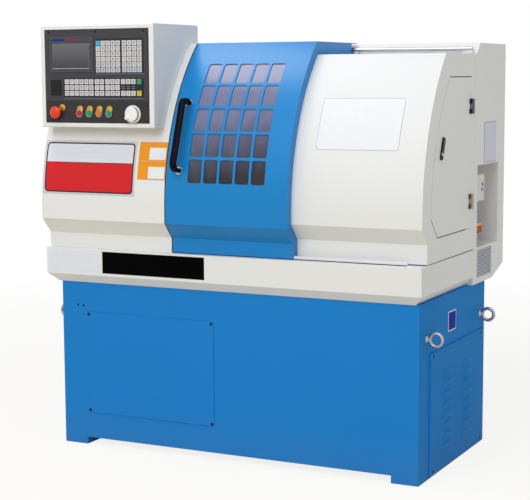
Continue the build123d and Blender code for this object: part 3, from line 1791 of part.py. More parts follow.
# Turning tools: square shanks in the slots, each with a pointed nose
with BuildPart() as turning_tools:
    for side in range(4):
        tool_out = turret_size / 2 - tool_slot_depth
        tool_tip = turret_size / 2 + tool_reach
        with BuildSketch(
            Plane(origin=(saddle_x, turret_y, tool_bottom)).rotated((0, 0, side * 90))
        ):
            with BuildLine():
                Polyline(
                    (tool_out, tool_slot_gap - tool_out),
                    (tool_out, tool_tip - tool_size),
                    (tool_out + tool_size * tool_nose_share, tool_tip),
                    (tool_out + tool_size, tool_tip),
                    (tool_out + tool_size, tool_slot_gap - tool_out),
                    close=True,
                )
            make_face()
        extrude(amount=tool_size)
turning_tools.part.label = "turning_tools"
export_step(turning_tools.part, "parts/turning_tools.step")

# Feed screw with its bearing blocks and servo motor
feed_left = left + feed_block_start
feed_right = bed_right
with BuildPart() as feed_bearing_blocks:
    for block_left in (feed_left, feed_right - feed_block_length):
        block(
            (block_left, block_left + feed_block_length),
            (bed_front - feed_block_depth, bed_front),
            (feed_z - feed_block_height / 2, bed_top - way_gap),
        )
        turned(
            (block_left, feed_y, feed_z),
            (1, 0, 0),
            ((0, feed_screw_radius + journal_clearance),
             (feed_block_length, feed_screw_radius + journal_clearance)),
            mode=Mode.SUBTRACT,
        )
feed_bearing_blocks.part.label = "feed_bearing_blocks"
export_step(feed_bearing_blocks.part, "parts/feed_bearing_blocks.step")

with BuildPart() as feed_ball_screw:
    turned(
        (feed_left, feed_y, feed_z),
        (1, 0, 0),
        ((0, feed_screw_radius), (feed_right - feed_left - way_gap, feed_screw_radius)),
    )
feed_ball_screw.part.label = "feed_ball_screw"
export_step(feed_ball_screw.part, "parts/feed_ball_screw.step")

with BuildPart() as feed_servo_motor:
    servo(
        Plane(origin=(feed_right, feed_y, feed_z), x_dir=(0, 1, 0), z_dir=(1, 0, 0)),
        servo_size,
        servo_length - servo_cap_length,
        servo_corner,
    )
feed_servo_motor.part.label = "feed_servo_motor"
export_step(feed_servo_motor.part, "parts/feed_servo_motor.step")

# Tailstock: foot on the ways, waist and round barrel with the quill's bore
tailstock_right = bed_right - tailstock_end_clear
tailstock_left = tailstock_right - tailstock_length
with BuildPart() as tailstock_body:
    with BuildSketch(end_plane(tailstock_left)):
        with Locations((spindle_y, saddle_bottom + tailstock_foot_height / 2)):
            Rectangle(tailstock_width, tailstock_foot_height)
        with Locations((spindle_y, (saddle_bottom + spindle_z) / 2)):
            Rectangle(tailstock_waist_width, spindle_z - saddle_bottom)
        with Locations((spindle_y, spindle_z)):
            Circle(tailstock_barrel_radius)
    extrude(amount=tailstock_length)
    extrude(vee_section(tailstock_left, way_gap), amount=tailstock_length, mode=Mode.SUBTRACT)
    turned(
        (tailstock_left, spindle_y, spindle_z),
        (1, 0, 0),
        ((0, quill_radius + quill_clearance), (quill_depth, quill_radius + quill_clearance)),
        mode=Mode.SUBTRACT,
    )
    turned(
        (tailstock_left + quill_depth, spindle_y, spindle_z),
        (1, 0, 0),
        ((0, tail_shaft_radius + tail_shaft_clearance),
         (tailstock_length - quill_depth, tail_shaft_radius + tail_shaft_clearance)),
        mode=Mode.SUBTRACT,
    )
tailstock_body.part.label = "tailstock_body"
export_step(tailstock_body.part, "parts/tailstock_body.step")

with BuildPart() as tailstock_quill:
    turned(
        (tailstock_left - quill_reach - centre_length, spindle_y, spindle_z),
        (1, 0, 0),
        (
            (0, way_gap),
            (centre_length - centre_radius, centre_radius),
            (centre_length, centre_radius),
            (centre_length, quill_radius),
            (centre_length + quill_reach + quill_depth - tail_shaft_length - way_gap, quill_radius),
        ),
    )
tailstock_quill.part.label = "tailstock_quill"
export_step(tailstock_quill.part, "parts/tailstock_quill.step")

with BuildPart() as tailstock_handwheel:
    wheel_right = tail_wheel_gap + tail_wheel_hub_length
    rim_left = wheel_right - tail_wheel_hub_length / 2 - tail_wheel_rim
    turned(
        (tailstock_right, spindle_y, spindle_z),
        (1, 0, 0),
        (
            (-tail_shaft_length, tail_shaft_radius),
            (tail_wheel_gap, tail_shaft_radius),
            (tail_wheel_gap, tail_wheel_hub_radius),
            (rim_left + tail_wheel_rim - tail_wheel_web / 2, tail_wheel_hub_radius),
            (rim_left + tail_wheel_rim - tail_wheel_web / 2, tail_wheel_radius - tail_wheel_rim),
            (rim_left, tail_wheel_radius - tail_wheel_rim),
            (rim_left, tail_wheel_radius),
            (rim_left + 2 * tail_wheel_rim, tail_wheel_radius),
            (rim_left + 2 * tail_wheel_rim, tail_wheel_radius - tail_wheel_rim),
            (rim_left + tail_wheel_rim + tail_wheel_web / 2, tail_wheel_radius - tail_wheel_rim),
            (rim_left + tail_wheel_rim + tail_wheel_web / 2, tail_wheel_hub_radius),
            (wheel_right, tail_wheel_hub_radius),
        ),
    )
tailstock_handwheel.part.label = "tailstock_handwheel"
export_step(tailstock_handwheel.part, "parts/tailstock_handwheel.step")

# Electrical backplate on the housing's front wall, with two servo drives and an inverter
plate_left = left + backplate_start
plate_front = housing_front + housing_wall
plate_back = plate_front + backplate_sheet
with BuildPart() as electrical_backplate:
    block(
        (plate_left, plate_left + backplate_width),
        (plate_front, plate_back),
        (backplate_bottom, backplate_bottom + backplate_height),
    )
electrical_backplate.part.label = "electrical_backplate"
export_step(electrical_backplate.part, "parts/electrical_backplate.step")

with BuildPart() as electrical_drives:
    drive_base = backplate_bottom + drive_bottom
    fin_pitch = (drive_height - drive_fin) / drive_fin_count
    for index in range(2):
        drive_left = plate_left + drive_start + index * drive_pitch
        block(
            (drive_left, drive_left + drive_width),
            (plate_back, plate_back + drive_depth),
            (drive_base, drive_base + drive_height),
        )
        for fin in range(drive_fin_count):
            fin_bottom = drive_base + (fin + 1) * fin_pitch - drive_fin
            block(
                (drive_left, drive_left + drive_fin),
                (plate_back + drive_fin, plate_back + drive_depth / 2),
                (fin_bottom, fin_bottom + drive_fin),
                Mode.SUBTRACT,
            )
    inverter_left = plate_left + inverter_start
    inverter_base = backplate_bottom + inverter_bottom
    block(
        (inverter_left, inverter_left + inverter_width),
        (plate_back, plate_back + inverter_depth),
        (inverter_base, inverter_base + inverter_height),
    )
electrical_drives.part.label = "electrical_drives"
export_step(electrical_drives.part, "parts/electrical_drives.step")

# Lubricator: pump head on the recess's back wall with its oil tank hung below
pump_left_y = recess_front + pump_start
pump_face = cover_right - pump_end_gap
pump_base = recess_floor + pump_bottom
with BuildPart() as lubricator_pump:
    block(
        (recess_back_x, pump_face),
        (pump_left_y, pump_left_y + pump_width),
        (pump_base, pump_base + pump_height),
    )
    fillet(lubricator_pump.faces().sort_by(Axis.X)[-1].edges(), radius=pump_corner)
lubricator_pump.part.label = "lubricator_pump"
export_step(lubricator_pump.part, "parts/lubricator_pump.step")

with BuildPart() as lubricator_tank:
    block(
        (recess_back_x + oil_tank_inset, pump_face - oil_tank_inset),
        (pump_left_y + oil_tank_inset, pump_left_y + pump_width - oil_tank_inset),
        (pump_base - oil_tank_height, pump_base),
    )
    fillet(lubricator_tank.edges().filter_by(Axis.Z), radius=pump_corner)
    offset(amount=-oil_tank_wall, openings=lubricator_tank.faces().sort_by(Axis.Z)[-1])
lubricator_tank.part.label = "lubricator_tank"
export_step(lubricator_tank.part, "parts/lubricator_tank.step")

# Coolant tank on the stand's floor plate, with an inlet under the drain and a pump on its lid
tank_top = stand_floor + coolant_height
coolant_pump_x = tank_right - coolant_pump_inset
coolant_pump_y = tank_front + coolant_depth - coolant_pump_inset
with BuildPart() as coolant_tank:
    block((tank_left, tank_right), (tank_front, tank_front + coolant_depth), (stand_floor, tank_top))
    block(
        (tank_left + coolant_wall, tank_right - coolant_wall),
        (tank_front + coolant_wall, tank_front + coolant_depth - coolant_wall),
        (stand_floor + coolant_wall, tank_top - coolant_wall),
        Mode.SUBTRACT,
    )
    with BuildSketch(level(tank_top)):
        with Locations((drain_x, drain_y)):
            Circle(coolant_inlet_radius)
        with Locations((coolant_pump_x, coolant_pump_y)):
            Circle(coolant_impeller_radius + coolant_wall)
    extrude(amount=-coolant_wall, mode=Mode.SUBTRACT)
coolant_tank.part.label = "coolant_tank"
export_step(coolant_tank.part, "parts/coolant_tank.step")

with BuildPart() as coolant_pump:
    turned(
        (coolant_pump_x, coolant_pump_y, tank_top),
        (0, 0, 1),
        (
            (-coolant_impeller_length, coolant_impeller_radius),
            (0, coolant_impeller_radius),
            (0, coolant_flange_radius),
            (coolant_flange, coolant_flange_radius),
            (coolant_flange, coolant_pump_radius),
            (coolant_flange + coolant_pump_height, coolant_pump_radius),
        ),
    )
coolant_pump.part.label = "coolant_pump"
export_step(coolant_pump.part, "parts/coolant_pump.step")
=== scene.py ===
import json
import logging
import math
from dataclasses import dataclass
from enum import Enum
from typing import Any, Callable, ClassVar, Iterable, Optional, Sequence, Union

import bmesh
import bpy
from mathutils import Euler, Matrix, Vector


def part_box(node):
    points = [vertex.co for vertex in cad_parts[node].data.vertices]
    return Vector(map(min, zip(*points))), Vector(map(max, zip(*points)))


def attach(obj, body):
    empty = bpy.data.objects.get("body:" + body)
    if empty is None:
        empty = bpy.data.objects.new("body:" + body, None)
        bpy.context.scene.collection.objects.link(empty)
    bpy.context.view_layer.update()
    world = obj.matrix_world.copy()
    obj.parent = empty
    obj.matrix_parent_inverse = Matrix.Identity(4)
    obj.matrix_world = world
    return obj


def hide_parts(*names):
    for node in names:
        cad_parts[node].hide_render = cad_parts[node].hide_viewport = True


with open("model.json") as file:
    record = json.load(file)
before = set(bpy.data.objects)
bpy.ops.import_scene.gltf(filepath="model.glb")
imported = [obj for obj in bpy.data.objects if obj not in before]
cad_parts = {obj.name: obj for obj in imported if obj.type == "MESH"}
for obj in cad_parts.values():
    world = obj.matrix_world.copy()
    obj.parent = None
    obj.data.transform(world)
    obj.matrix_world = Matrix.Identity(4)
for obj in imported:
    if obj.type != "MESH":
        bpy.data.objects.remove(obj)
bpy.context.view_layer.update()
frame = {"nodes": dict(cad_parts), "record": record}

LOG = logging.getLogger("lathe")
MM = 0.001
WIDE_FACE = 0.004  # square metres, above which a face is shaded flat
SHARP_ANGLE = math.radians(35)
ROUNDED_ANGLE = math.radians(32)
FLAT_ANGLE = math.radians(0.6)
SAME_POINT = 1e-6
SAME_CORNER = 2e-6  # for the CAD nodes' loose triangles

Triple = tuple[float, float, float]
Colour = Triple
Pair = tuple[float, float]
Profile = tuple[Pair, ...]
Piece = bpy.types.Object
Mesh = bpy.types.Mesh
Place = Callable[[float, float], tuple[Vector, Vector]]


def chip(red: int, green: int, blue: int) -> Colour:
    """Linear colour of a paint chip read in screen values.

    Args:
        red: Red, from 0 to 255.
        green: Green, from 0 to 255.
        blue: Blue, from 0 to 255.

    Returns:
        The linear colour.
    """

    def linear(value: int) -> float:
        """Linear value of one channel."""
        share = value / 255
        return share / 12.92 if share <= 0.04045 else ((share + 0.055) / 1.055) ** 2.4

    return linear(red), linear(green), linear(blue)


class Facing(Enum):
    """Side of the machine that a fastener, key or plate looks towards."""

    FRONT = (math.pi / 2, 0.0, 0.0)
    BACK = (-math.pi / 2, 0.0, 0.0)
    RIGHT = (0.0, math.pi / 2, 0.0)
    TOP = (0.0, 0.0, 0.0)

    @property
    def normal(self) -> Vector:
        """Outward direction of the side."""
        return Euler(self.value).to_matrix() @ Vector((0, 0, 1))


class Sock:
    """A node's socket whose arithmetic adds Math nodes."""

    def __init__(self, graph: "Graph", socket: bpy.types.NodeSocket) -> None:
        """Wraps a socket of a graph."""
        self.graph = graph
        self.socket = socket

    def _math(self, operation: str, first: "Value", second: "Value") -> "Sock":
        """One Math node on two values."""
        return self.graph.node("ShaderNodeMath", {"operation": operation}, {0: first, 1: second})

    def __add__(self, other: "Value") -> "Sock":
        """Sum."""
        return self._math("ADD", self, other)

    def __radd__(self, other: "Value") -> "Sock":
        """Sum with a number on the left."""
        return self._math("ADD", other, self)

    def __sub__(self, other: "Value") -> "Sock":
        """Difference."""
        return self._math("SUBTRACT", self, other)

    def __rsub__(self, other: "Value") -> "Sock":
        """Difference from a number."""
        return self._math("SUBTRACT", other, self)

    def __mul__(self, other: "Value") -> "Sock":
        """Product."""
        return self._math("MULTIPLY", self, other)

    def __rmul__(self, other: "Value") -> "Sock":
        """Product with a number on the left."""
        return self._math("MULTIPLY", other, self)

    def limited(self) -> "Sock":
        """The value held between 0 and 1."""
        return self.graph.node("ShaderNodeClamp", {}, {"Value": self})

    def swing(self, amount: float) -> "Sock":
        """The value's swing about its middle, scaled."""
        return (self - 0.5) * amount

    def other(self, output: str) -> "Sock":
        """Another output of the same node."""
        return Sock(self.graph, self.socket.node.outputs[output])


Value = Union[Sock, float, Sequence[float]]


class Graph:
    """A node tree whose nodes are added by expressions."""

    def __init__(self, tree: bpy.types.NodeTree) -> None:
        """Takes a tree and empties it."""
        self.tree = tree
        self.tree.nodes.clear()

    def node(
        self, kind: str, settings: dict[str, Any], inputs: dict[Any, Any],
        output: Union[int, str] = 0,
    ) -> Sock:
        """Adds one node.

        Args:
            kind: Blender's type of the node.
            settings: Its own settings, set first.
            inputs: Values or links of its sockets, a list for several links.
            output: The socket that is returned.

        Returns:
            That socket, wrapped.
        """
        made = self.tree.nodes.new(kind)
        for key, value in settings.items():
            setattr(made, key, value)
        for key, value in inputs.items():
            for item in value if isinstance(value, list) else [value]:
                if isinstance(item, Sock):
                    self.tree.links.new(item.socket, made.inputs[key])
                else:
                    made.inputs[key].default_value = item
        return Sock(self, made.outputs[output])

    def end(self, kind: str, last: Sock) -> None:
        """Links a socket to an output node of a type."""
        sink = self.tree.nodes.new(kind)
        self.tree.links.new(last.socket, sink.inputs[0])

    def axis(self, vector: Sock, name: str) -> Sock:
        """One value of a vector."""
        return self.node("ShaderNodeSeparateXYZ", {}, {0: vector}, name)

    def open_rays(self) -> Sock:
        """One for rays that show the background, and zero for the others.

        Returns:
            The value, from the camera, metal and glass.
        """
        camera = self.node("ShaderNodeLightPath", {}, {}, "Is Camera Ray")
        glossy, through = camera.other("Is Glossy Ray"), camera.other("Is Transmission Ray")
        return (camera + glossy + through).limited()


class MaterialGraph(Graph):
    """A material whose nodes are added by expressions."""

    def __init__(self, name: str) -> None:
        """Starts an empty material.

        Args:
            name: The material's name.
        """
        self.material = bpy.data.materials.new(name)
        self.material.use_nodes = True
        super().__init__(self.material.node_tree)

    def place(self) -> Sock:
        """Object coordinates."""
        return self.node("ShaderNodeTexCoord", {}, {}, "Object")

    def stretched(self, where: Sock, scale: Sequence[float]) -> Sock:
        """A place scaled along its axes."""
        return self.node("ShaderNodeMapping", {}, {"Vector": where, "Scale": scale})

    def noise(self, where: Sock, scale: float, detail: float = 2.0) -> Sock:
        """Noise value at a place."""
        inputs = {"Vector": where, "Scale": scale, "Detail": detail}
        return self.node("ShaderNodeTexNoise", {}, inputs)

    def blend(self, share: Value, first: Value, second: Value) -> Sock:
        """Colour between two colours.

        Args:
            share: Share of the second colour.
            first: Colour at a share of zero.
            second: Colour at a share of one.

        Returns:
            The blended colour.
        """
        ends = [value if isinstance(value, Sock) else (*value, 1) for value in (first, second)]
        inputs = {0: share, 6: ends[0], 7: ends[1]}
        return self.node("ShaderNodeMix", {"data_type": "RGBA"}, inputs, 2)

    def darkened(self, share: Sock, colour: Colour, factor: float) -> Sock:
        """Colour that a mask darkens by a factor."""
        return self.blend(share, colour, tuple(channel * factor for channel in colour))

    def bump(self, height: Sock, strength: float, distance: float) -> Sock:
        """Normal from a height."""
        inputs = {"Strength": strength, "Distance": distance, "Height": height}
        return self.node("ShaderNodeBump", {}, inputs)

    def surface(self, inputs: dict[str, Value]) -> None:
        """Ends the material in a Principled shader.

        Args:
            inputs: Values or links of the shader's sockets.
        """
        full = {
            key: (*value, 1) if isinstance(value, tuple) else value
            for key, value in inputs.items()
        }
        self.end("ShaderNodeOutputMaterial", self.node("ShaderNodeBsdfPrincipled", {}, full))


@dataclass(frozen=True)
class Finish:
    """A surface finish, whose material is made once."""

    name: str
    colour: Colour
    _made: ClassVar[dict[str, bpy.types.Material]] = {}

    def material(self) -> bpy.types.Material:
        """The finish's material.

        Returns:
            The material, which is made at the first call.
        """
        if self.name not in Finish._made:
            graph = MaterialGraph(self.name)
            self.shade(graph)
            Finish._made[self.name] = graph.material
        return Finish._made[self.name]

    def shade(self, graph: MaterialGraph) -> None:
        """Adds the finish's nodes to a graph."""
        raise NotImplementedError


@dataclass(frozen=True)
class Enamel(Finish):
    """Sprayed enamel on sheet steel: fine orange peel, cloudy gloss and dust near the floor."""

    roughness: float = 0.4
    specular: float = 0.25
    peel: float = 0.08
    peel_scale: float = 420.0
    peel_depth: float = 0.0006
    cloud: float = 0.10
    cloud_scale: float = 2.6
    cloud_gloss: float = 0.12
    soil: float = 0.0
    soil_height: float = 0.16
    soil_scale: float = 60.0
    soil_gloss: float = 0.3
    soil_colour: Colour = chip(120, 116, 108)

    def shade(self, graph: MaterialGraph) -> None:
        """Adds the enamel's nodes.

        Args:
            graph: The material that takes them.
        """
        where = graph.place()
        cloud = graph.noise(where, self.cloud_scale, detail=4.0)
        low = (1.0 - graph.axis(where, "Z") * (1 / self.soil_height)).limited()
        coat = graph.darkened(cloud, self.colour, 1 - self.cloud)
        dust = low * graph.noise(where, self.soil_scale, detail=5.0) * self.soil
        gloss = self.roughness + cloud.swing(self.cloud_gloss)
        peel = graph.noise(where, self.peel_scale, detail=1.0)
        graph.surface({
            "Base Color": graph.blend(dust, coat, self.soil_colour),
            "Roughness": gloss + low * self.soil * self.soil_gloss,
            "Specular IOR Level": self.specular,
            "Normal": graph.bump(peel, self.peel, self.peel_depth),
        })


@dataclass(frozen=True)
class Metal(Finish):
    """Bare or plated metal with lines left by its making."""

    roughness: float = 0.28
    line_scale: Triple = (900.0, 900.0, 900.0)
    line: float = 0.05
    line_depth: float = 0.0003
    line_gloss: float = 0.16
    stain_scale: float = 14.0
    stain_shade: float = 0.82
    stain_gloss: float = 0.08

    def shade(self, graph: MaterialGraph) -> None:
        """Adds the metal's nodes.

        Args:
            graph: The material that takes them.
        """
        where = graph.place()
        mark = graph.noise(graph.stretched(where, self.line_scale), 1.0, detail=3.0)
        stain = graph.noise(where, self.stain_scale, detail=3.0)
        gloss = self.roughness + mark.swing(self.line_gloss) + stain.swing(self.stain_gloss)
        graph.surface({
            "Base Color": graph.darkened(stain, self.colour, self.stain_shade),
            "Metallic": 1.0,
            "Roughness": gloss,
            "Normal": graph.bump(mark, self.line, self.line_depth),
        })


@dataclass(frozen=True)
class Moulding(Finish):
    """Moulded plastic or rubber with a fine texture."""

    roughness: float = 0.4
    grain: float = 0.06
    grain_scale: float = 1500.0
    grain_depth: float = 0.0004
    grain_detail: float = 2.0
    coat: float = 0.0
    specular: float = 0.3
    smear_scale: float = 22.0
    smear_shade: float = 0.86
    smear_gloss: float = 0.14

    def shade(self, graph: MaterialGraph) -> None:
        """Adds the plastic's nodes.

        Args:
            graph: The material that takes them.
        """
        where = graph.place()
        grain = graph.noise(where, self.grain_scale, self.grain_detail)
        smear = graph.noise(where, self.smear_scale, detail=3.0)
        graph.surface({
            "Base Color": graph.darkened(smear, self.colour, self.smear_shade),
            "Roughness": self.roughness + smear.swing(self.smear_gloss),
            "Coat Weight": self.coat,
            "Specular IOR Level": self.specular,
            "Normal": graph.bump(grain, self.grain, self.grain_depth),
        })


@dataclass(frozen=True)
class Casting(Moulding):
    """Painted casting with a coarse sand skin."""

    roughness: float = 0.55
    grain: float = 0.25
    grain_scale: float = 180.0
    grain_depth: float = 0.0012
    grain_detail: float = 4.0
    specular: float = 0.5
    smear_scale: float = 9.0
    smear_shade: float = 0.7
    smear_gloss: float = 0.2


@dataclass(frozen=True)
class Print(Finish):
    """Printed film on a plate, with a faint sheen of laminate."""

    roughness: float = 0.36
    specular: float = 0.2
    ink_scale: float = 90.0
    ink_shade: float = 0.94
    ink_gloss: float = 0.1

    def shade(self, graph: MaterialGraph) -> None:
        """Adds the film's nodes.

        Args:
            graph: The material that takes them.
        """
        ink = graph.noise(graph.place(), self.ink_scale, detail=2.0)
        graph.surface({
            "Base Color": graph.darkened(ink, self.colour, self.ink_shade),
            "Roughness": self.roughness + ink.swing(self.ink_gloss),
            "Specular IOR Level": self.specular,
        })


@dataclass(frozen=True)
class Pane(Finish):
    """Tinted see-through sheet with wiping smears and a painted sky reflection towards the top."""

    body: float
    roughness: float = 0.12
    # Second colour, a painted sky reflection, and the heights where it fades in.
    sky_reflection: Optional[Colour] = None
    reflection_span: Pair = (0.0, 1.0)
    reflection_drift: float = 0.0
    specular: float = 0.35
    smear_scale: Triple = (30.0, 30.0, 6.0)
    smear_lift: float = 0.08
    smear_gloss: float = 0.1
    smear_body: float = 0.1
    reflection_body: float = 0.25

    def shade(self, graph: MaterialGraph) -> None:
        """Adds the pane's nodes.

        Args:
            graph: The material that takes them.
        """
        where = graph.place()
        smear = graph.noise(graph.stretched(where, self.smear_scale), 1.0, detail=4.0)
        # Painted sky reflection: the second colour and more opacity come in higher up.
        low, high = self.reflection_span
        level = graph.axis(where, "Z") - graph.axis(where, "X") * self.reflection_drift
        seen = level + smear.swing(self.smear_lift)
        lift = ((seen - low) * (1 / (high - low))).limited()
        graph.surface({
            "Base Color": graph.blend(lift, self.colour, self.sky_reflection or self.colour),
            "Roughness": self.roughness + smear.swing(self.smear_gloss),
            "Alpha": (self.body + lift * self.reflection_body + smear.swing(self.smear_body)).limited(),
            "Specular IOR Level": self.specular,
        })


@dataclass(frozen=True)
class Display(Finish):
    """Switched-off display under glass, lighter where it catches the room."""

    light: Colour
    height: float
    reach: float
    roughness: float = 0.22
    specular: float = 0.5
    film_scale: float = 35.0
    film_gloss: float = 0.08

    def shade(self, graph: MaterialGraph) -> None:
        """Adds the display's nodes.

        Args:
            graph: The material that takes them.
        """
        where = graph.place()
        lift = ((graph.axis(where, "Z") - self.height) * (1 / self.reach)).limited()
        film = graph.noise(where, self.film_scale, detail=3.0)
        graph.surface({
            "Base Color": graph.blend(lift, self.colour, self.light),
            "Roughness": self.roughness + film.swing(self.film_gloss),
            "Specular IOR Level": self.specular,
        })


class Kit:
    """The finishes of this machine."""

    BLUE = Enamel("blue_enamel", chip(38, 134, 214), 0.5, 0.03, soil=0.2)
    DOOR_BLUE = Enamel("door_enamel", chip(12, 132, 204), 0.3, 0.3)
    WHITE = Enamel("white_enamel", chip(235, 235, 235), 0.42, 0.15, cloud=0.03)
    FASCIA = Moulding("fascia_film", chip(46, 44, 44), 0.5)
    CONTROLLER = Moulding("controller_film", chip(60, 59, 63), 0.42)
    BEZEL = Moulding("bezel_film", chip(70, 69, 74), 0.4)
    MEMBRANE = Moulding("membrane_film", chip(30, 28, 33), 0.45)
    # Pale lines under the keypads are a painted highlight; the same finish prints the dashes.
    HIGHLIGHT_AND_DASH = Moulding("membrane_highlight_and_dash", chip(152, 148, 166), 0.35)
    KEY = Moulding("key_grey", chip(214, 213, 216), 0.45)
    KEY_COOL = Moulding("key_cool", chip(196, 204, 216), 0.45)
    KEY_CYAN = Moulding("key_cyan", chip(64, 176, 226), 0.45)
    KEY_GREEN = Moulding("key_green", chip(52, 168, 118), 0.45)
    KEY_YELLOW = Moulding("key_yellow", chip(228, 206, 60), 0.45)
    LEGEND = Print("legend_ink", chip(88, 88, 94))
    DISPLAY = Display("display", chip(56, 53, 60), chip(100, 100, 104), 1.36, 0.08)
    # Pale finish of the screen reveal's lower and right sides: a painted highlight.
    REVEAL_HIGHLIGHT = Moulding("screen_reveal", chip(206, 206, 210), 0.4)
    # Smoked pane whose lilac second colour is a painted sky reflection on the upper rows.
    SMOKE = Pane(
        "smoked_pane", chip(58, 55, 60), 0.62, 0.16, chip(122, 127, 164), (0.98, 1.2),
        reflection_drift=0.2,
    )
    BLACK = Moulding("black_handle", chip(5, 7, 18), 0.3, 0.03, specular=0.07)
    RUBBER = Moulding("black_rubber", chip(22, 22, 23), 0.7, 0.2, 700.0)
    ZINC = Metal("bright_zinc", chip(196, 196, 198), 0.3)
    EYE_ZINC = Metal("eye_zinc", chip(168, 170, 174), 0.42)
    NICKEL = Metal("bezel_nickel", chip(176, 176, 180), 0.26)
    GROUND = Metal("ground_steel", chip(176, 178, 182), 0.26, (40.0, 1200.0, 1200.0))
    TURNED = Metal("turned_steel", chip(186, 187, 190), 0.24, (1400.0, 120.0, 120.0))
    BLACKED = Metal("blacked_steel", chip(44, 44, 48), 0.42)
    ALUMINIUM = Metal("cast_aluminium", chip(190, 192, 195), 0.42)
    BRASS = Metal("hinge_brass", chip(160, 148, 124), 0.36)
    GOLD = Metal("tag_gold", chip(206, 160, 58), 0.4)
    IRON = Casting("grey_casting", chip(132, 140, 144))
    MOTOR = Casting("motor_grey", chip(84, 92, 100))
    BELT = Moulding("belt_rubber", chip(22, 22, 22), 0.75, 0.3, 300.0)
    RED = Moulding("red_cap", chip(196, 22, 30), 0.3, coat=0.3)
    STOP = Moulding("stop_red", chip(232, 62, 28), 0.36, coat=0.1)
    GREEN = Moulding("green_cap", chip(26, 152, 96), 0.3, coat=0.3)
    ORANGE = Moulding("orange_cap", chip(232, 112, 28), 0.3, coat=0.3)
    IVORY = Moulding("ivory_plastic", chip(226, 225, 221), 0.4)
    DIAL = Moulding("dial_white", chip(246, 246, 247), 0.3, coat=0.2)
    # Dark ring on the handwheel's drum wall: partly its own dark colour, partly painted shade.
    GRIP_DARK_AND_SHADE = Moulding("dial_grip_dark_and_shade", chip(70, 70, 72), 0.5, 0.5, 600.0)
    TANK = Pane("oil_tank_wall", chip(176, 182, 214), 0.3, 0.3, None, (2.0, 3.0))
    OIL = Moulding("red_bowl", chip(186, 24, 18), 0.45, specular=0.2)
    FLOAT = Moulding("yellow_ring", chip(246, 186, 36), 0.4)
    HINGE_STEEL = Metal("hinge_steel", chip(92, 92, 94), 0.34)
    SILVER = Print("plate_silver", chip(206, 206, 212))
    PLATE_WHITE = Print("plate_white", chip(222, 224, 234))
    PLATE_RED = Print("plate_red", chip(214, 36, 42))
    PLATE_LINE = Print("plate_line", chip(46, 42, 50))
    PLATE_AMBER = Print("plate_amber", chip(240, 156, 30))
    PLATE_BLACK = Print("plate_black", chip(3, 3, 4), 0.5, 0.02)
    PLATE_PALE = Print("plate_pale", chip(230, 234, 243))
    PLATE_BLUE = Print("plate_blue", chip(24, 48, 158), 0.5, 0.03)
    PLATE_PLUM = Print("plate_plum", chip(140, 36, 92))
    PLATE_CLEAR = Print("plate_clear", chip(238, 240, 244))
    PLATE_GREY = Print("plate_grey", chip(160, 164, 176))
    LABEL_COOL = Print("label_cool", chip(224, 227, 246), 0.5, 0.05)
    LABEL_GREY = Print("label_grey", chip(206, 208, 216), 0.5, 0.05)
    LABEL_INK = Print("label_ink", chip(112, 114, 130), 0.5, 0.05)
    LAMP_RED = Moulding("lamp_red", chip(206, 26, 34), 0.2, coat=0.5)
    LAMP_BLUE = Moulding("lamp_blue", chip(40, 132, 220), 0.3)
    # Painted shade in seams, louvre slits and the fan opening.
    GAP_SHADE = Moulding("painted_gap_shade", chip(34, 33, 34), 0.8, specular=0.1)


RECORD = frame["record"]
BODY_OF = {node: body for body, nodes in RECORD["behaviour"]["bodies"].items() for node in nodes}
SLOT_OF = {part["node"]: part["material_slot"] for part in RECORD["subparts"]}

Layer = tuple[str, float, float, float, Finish]


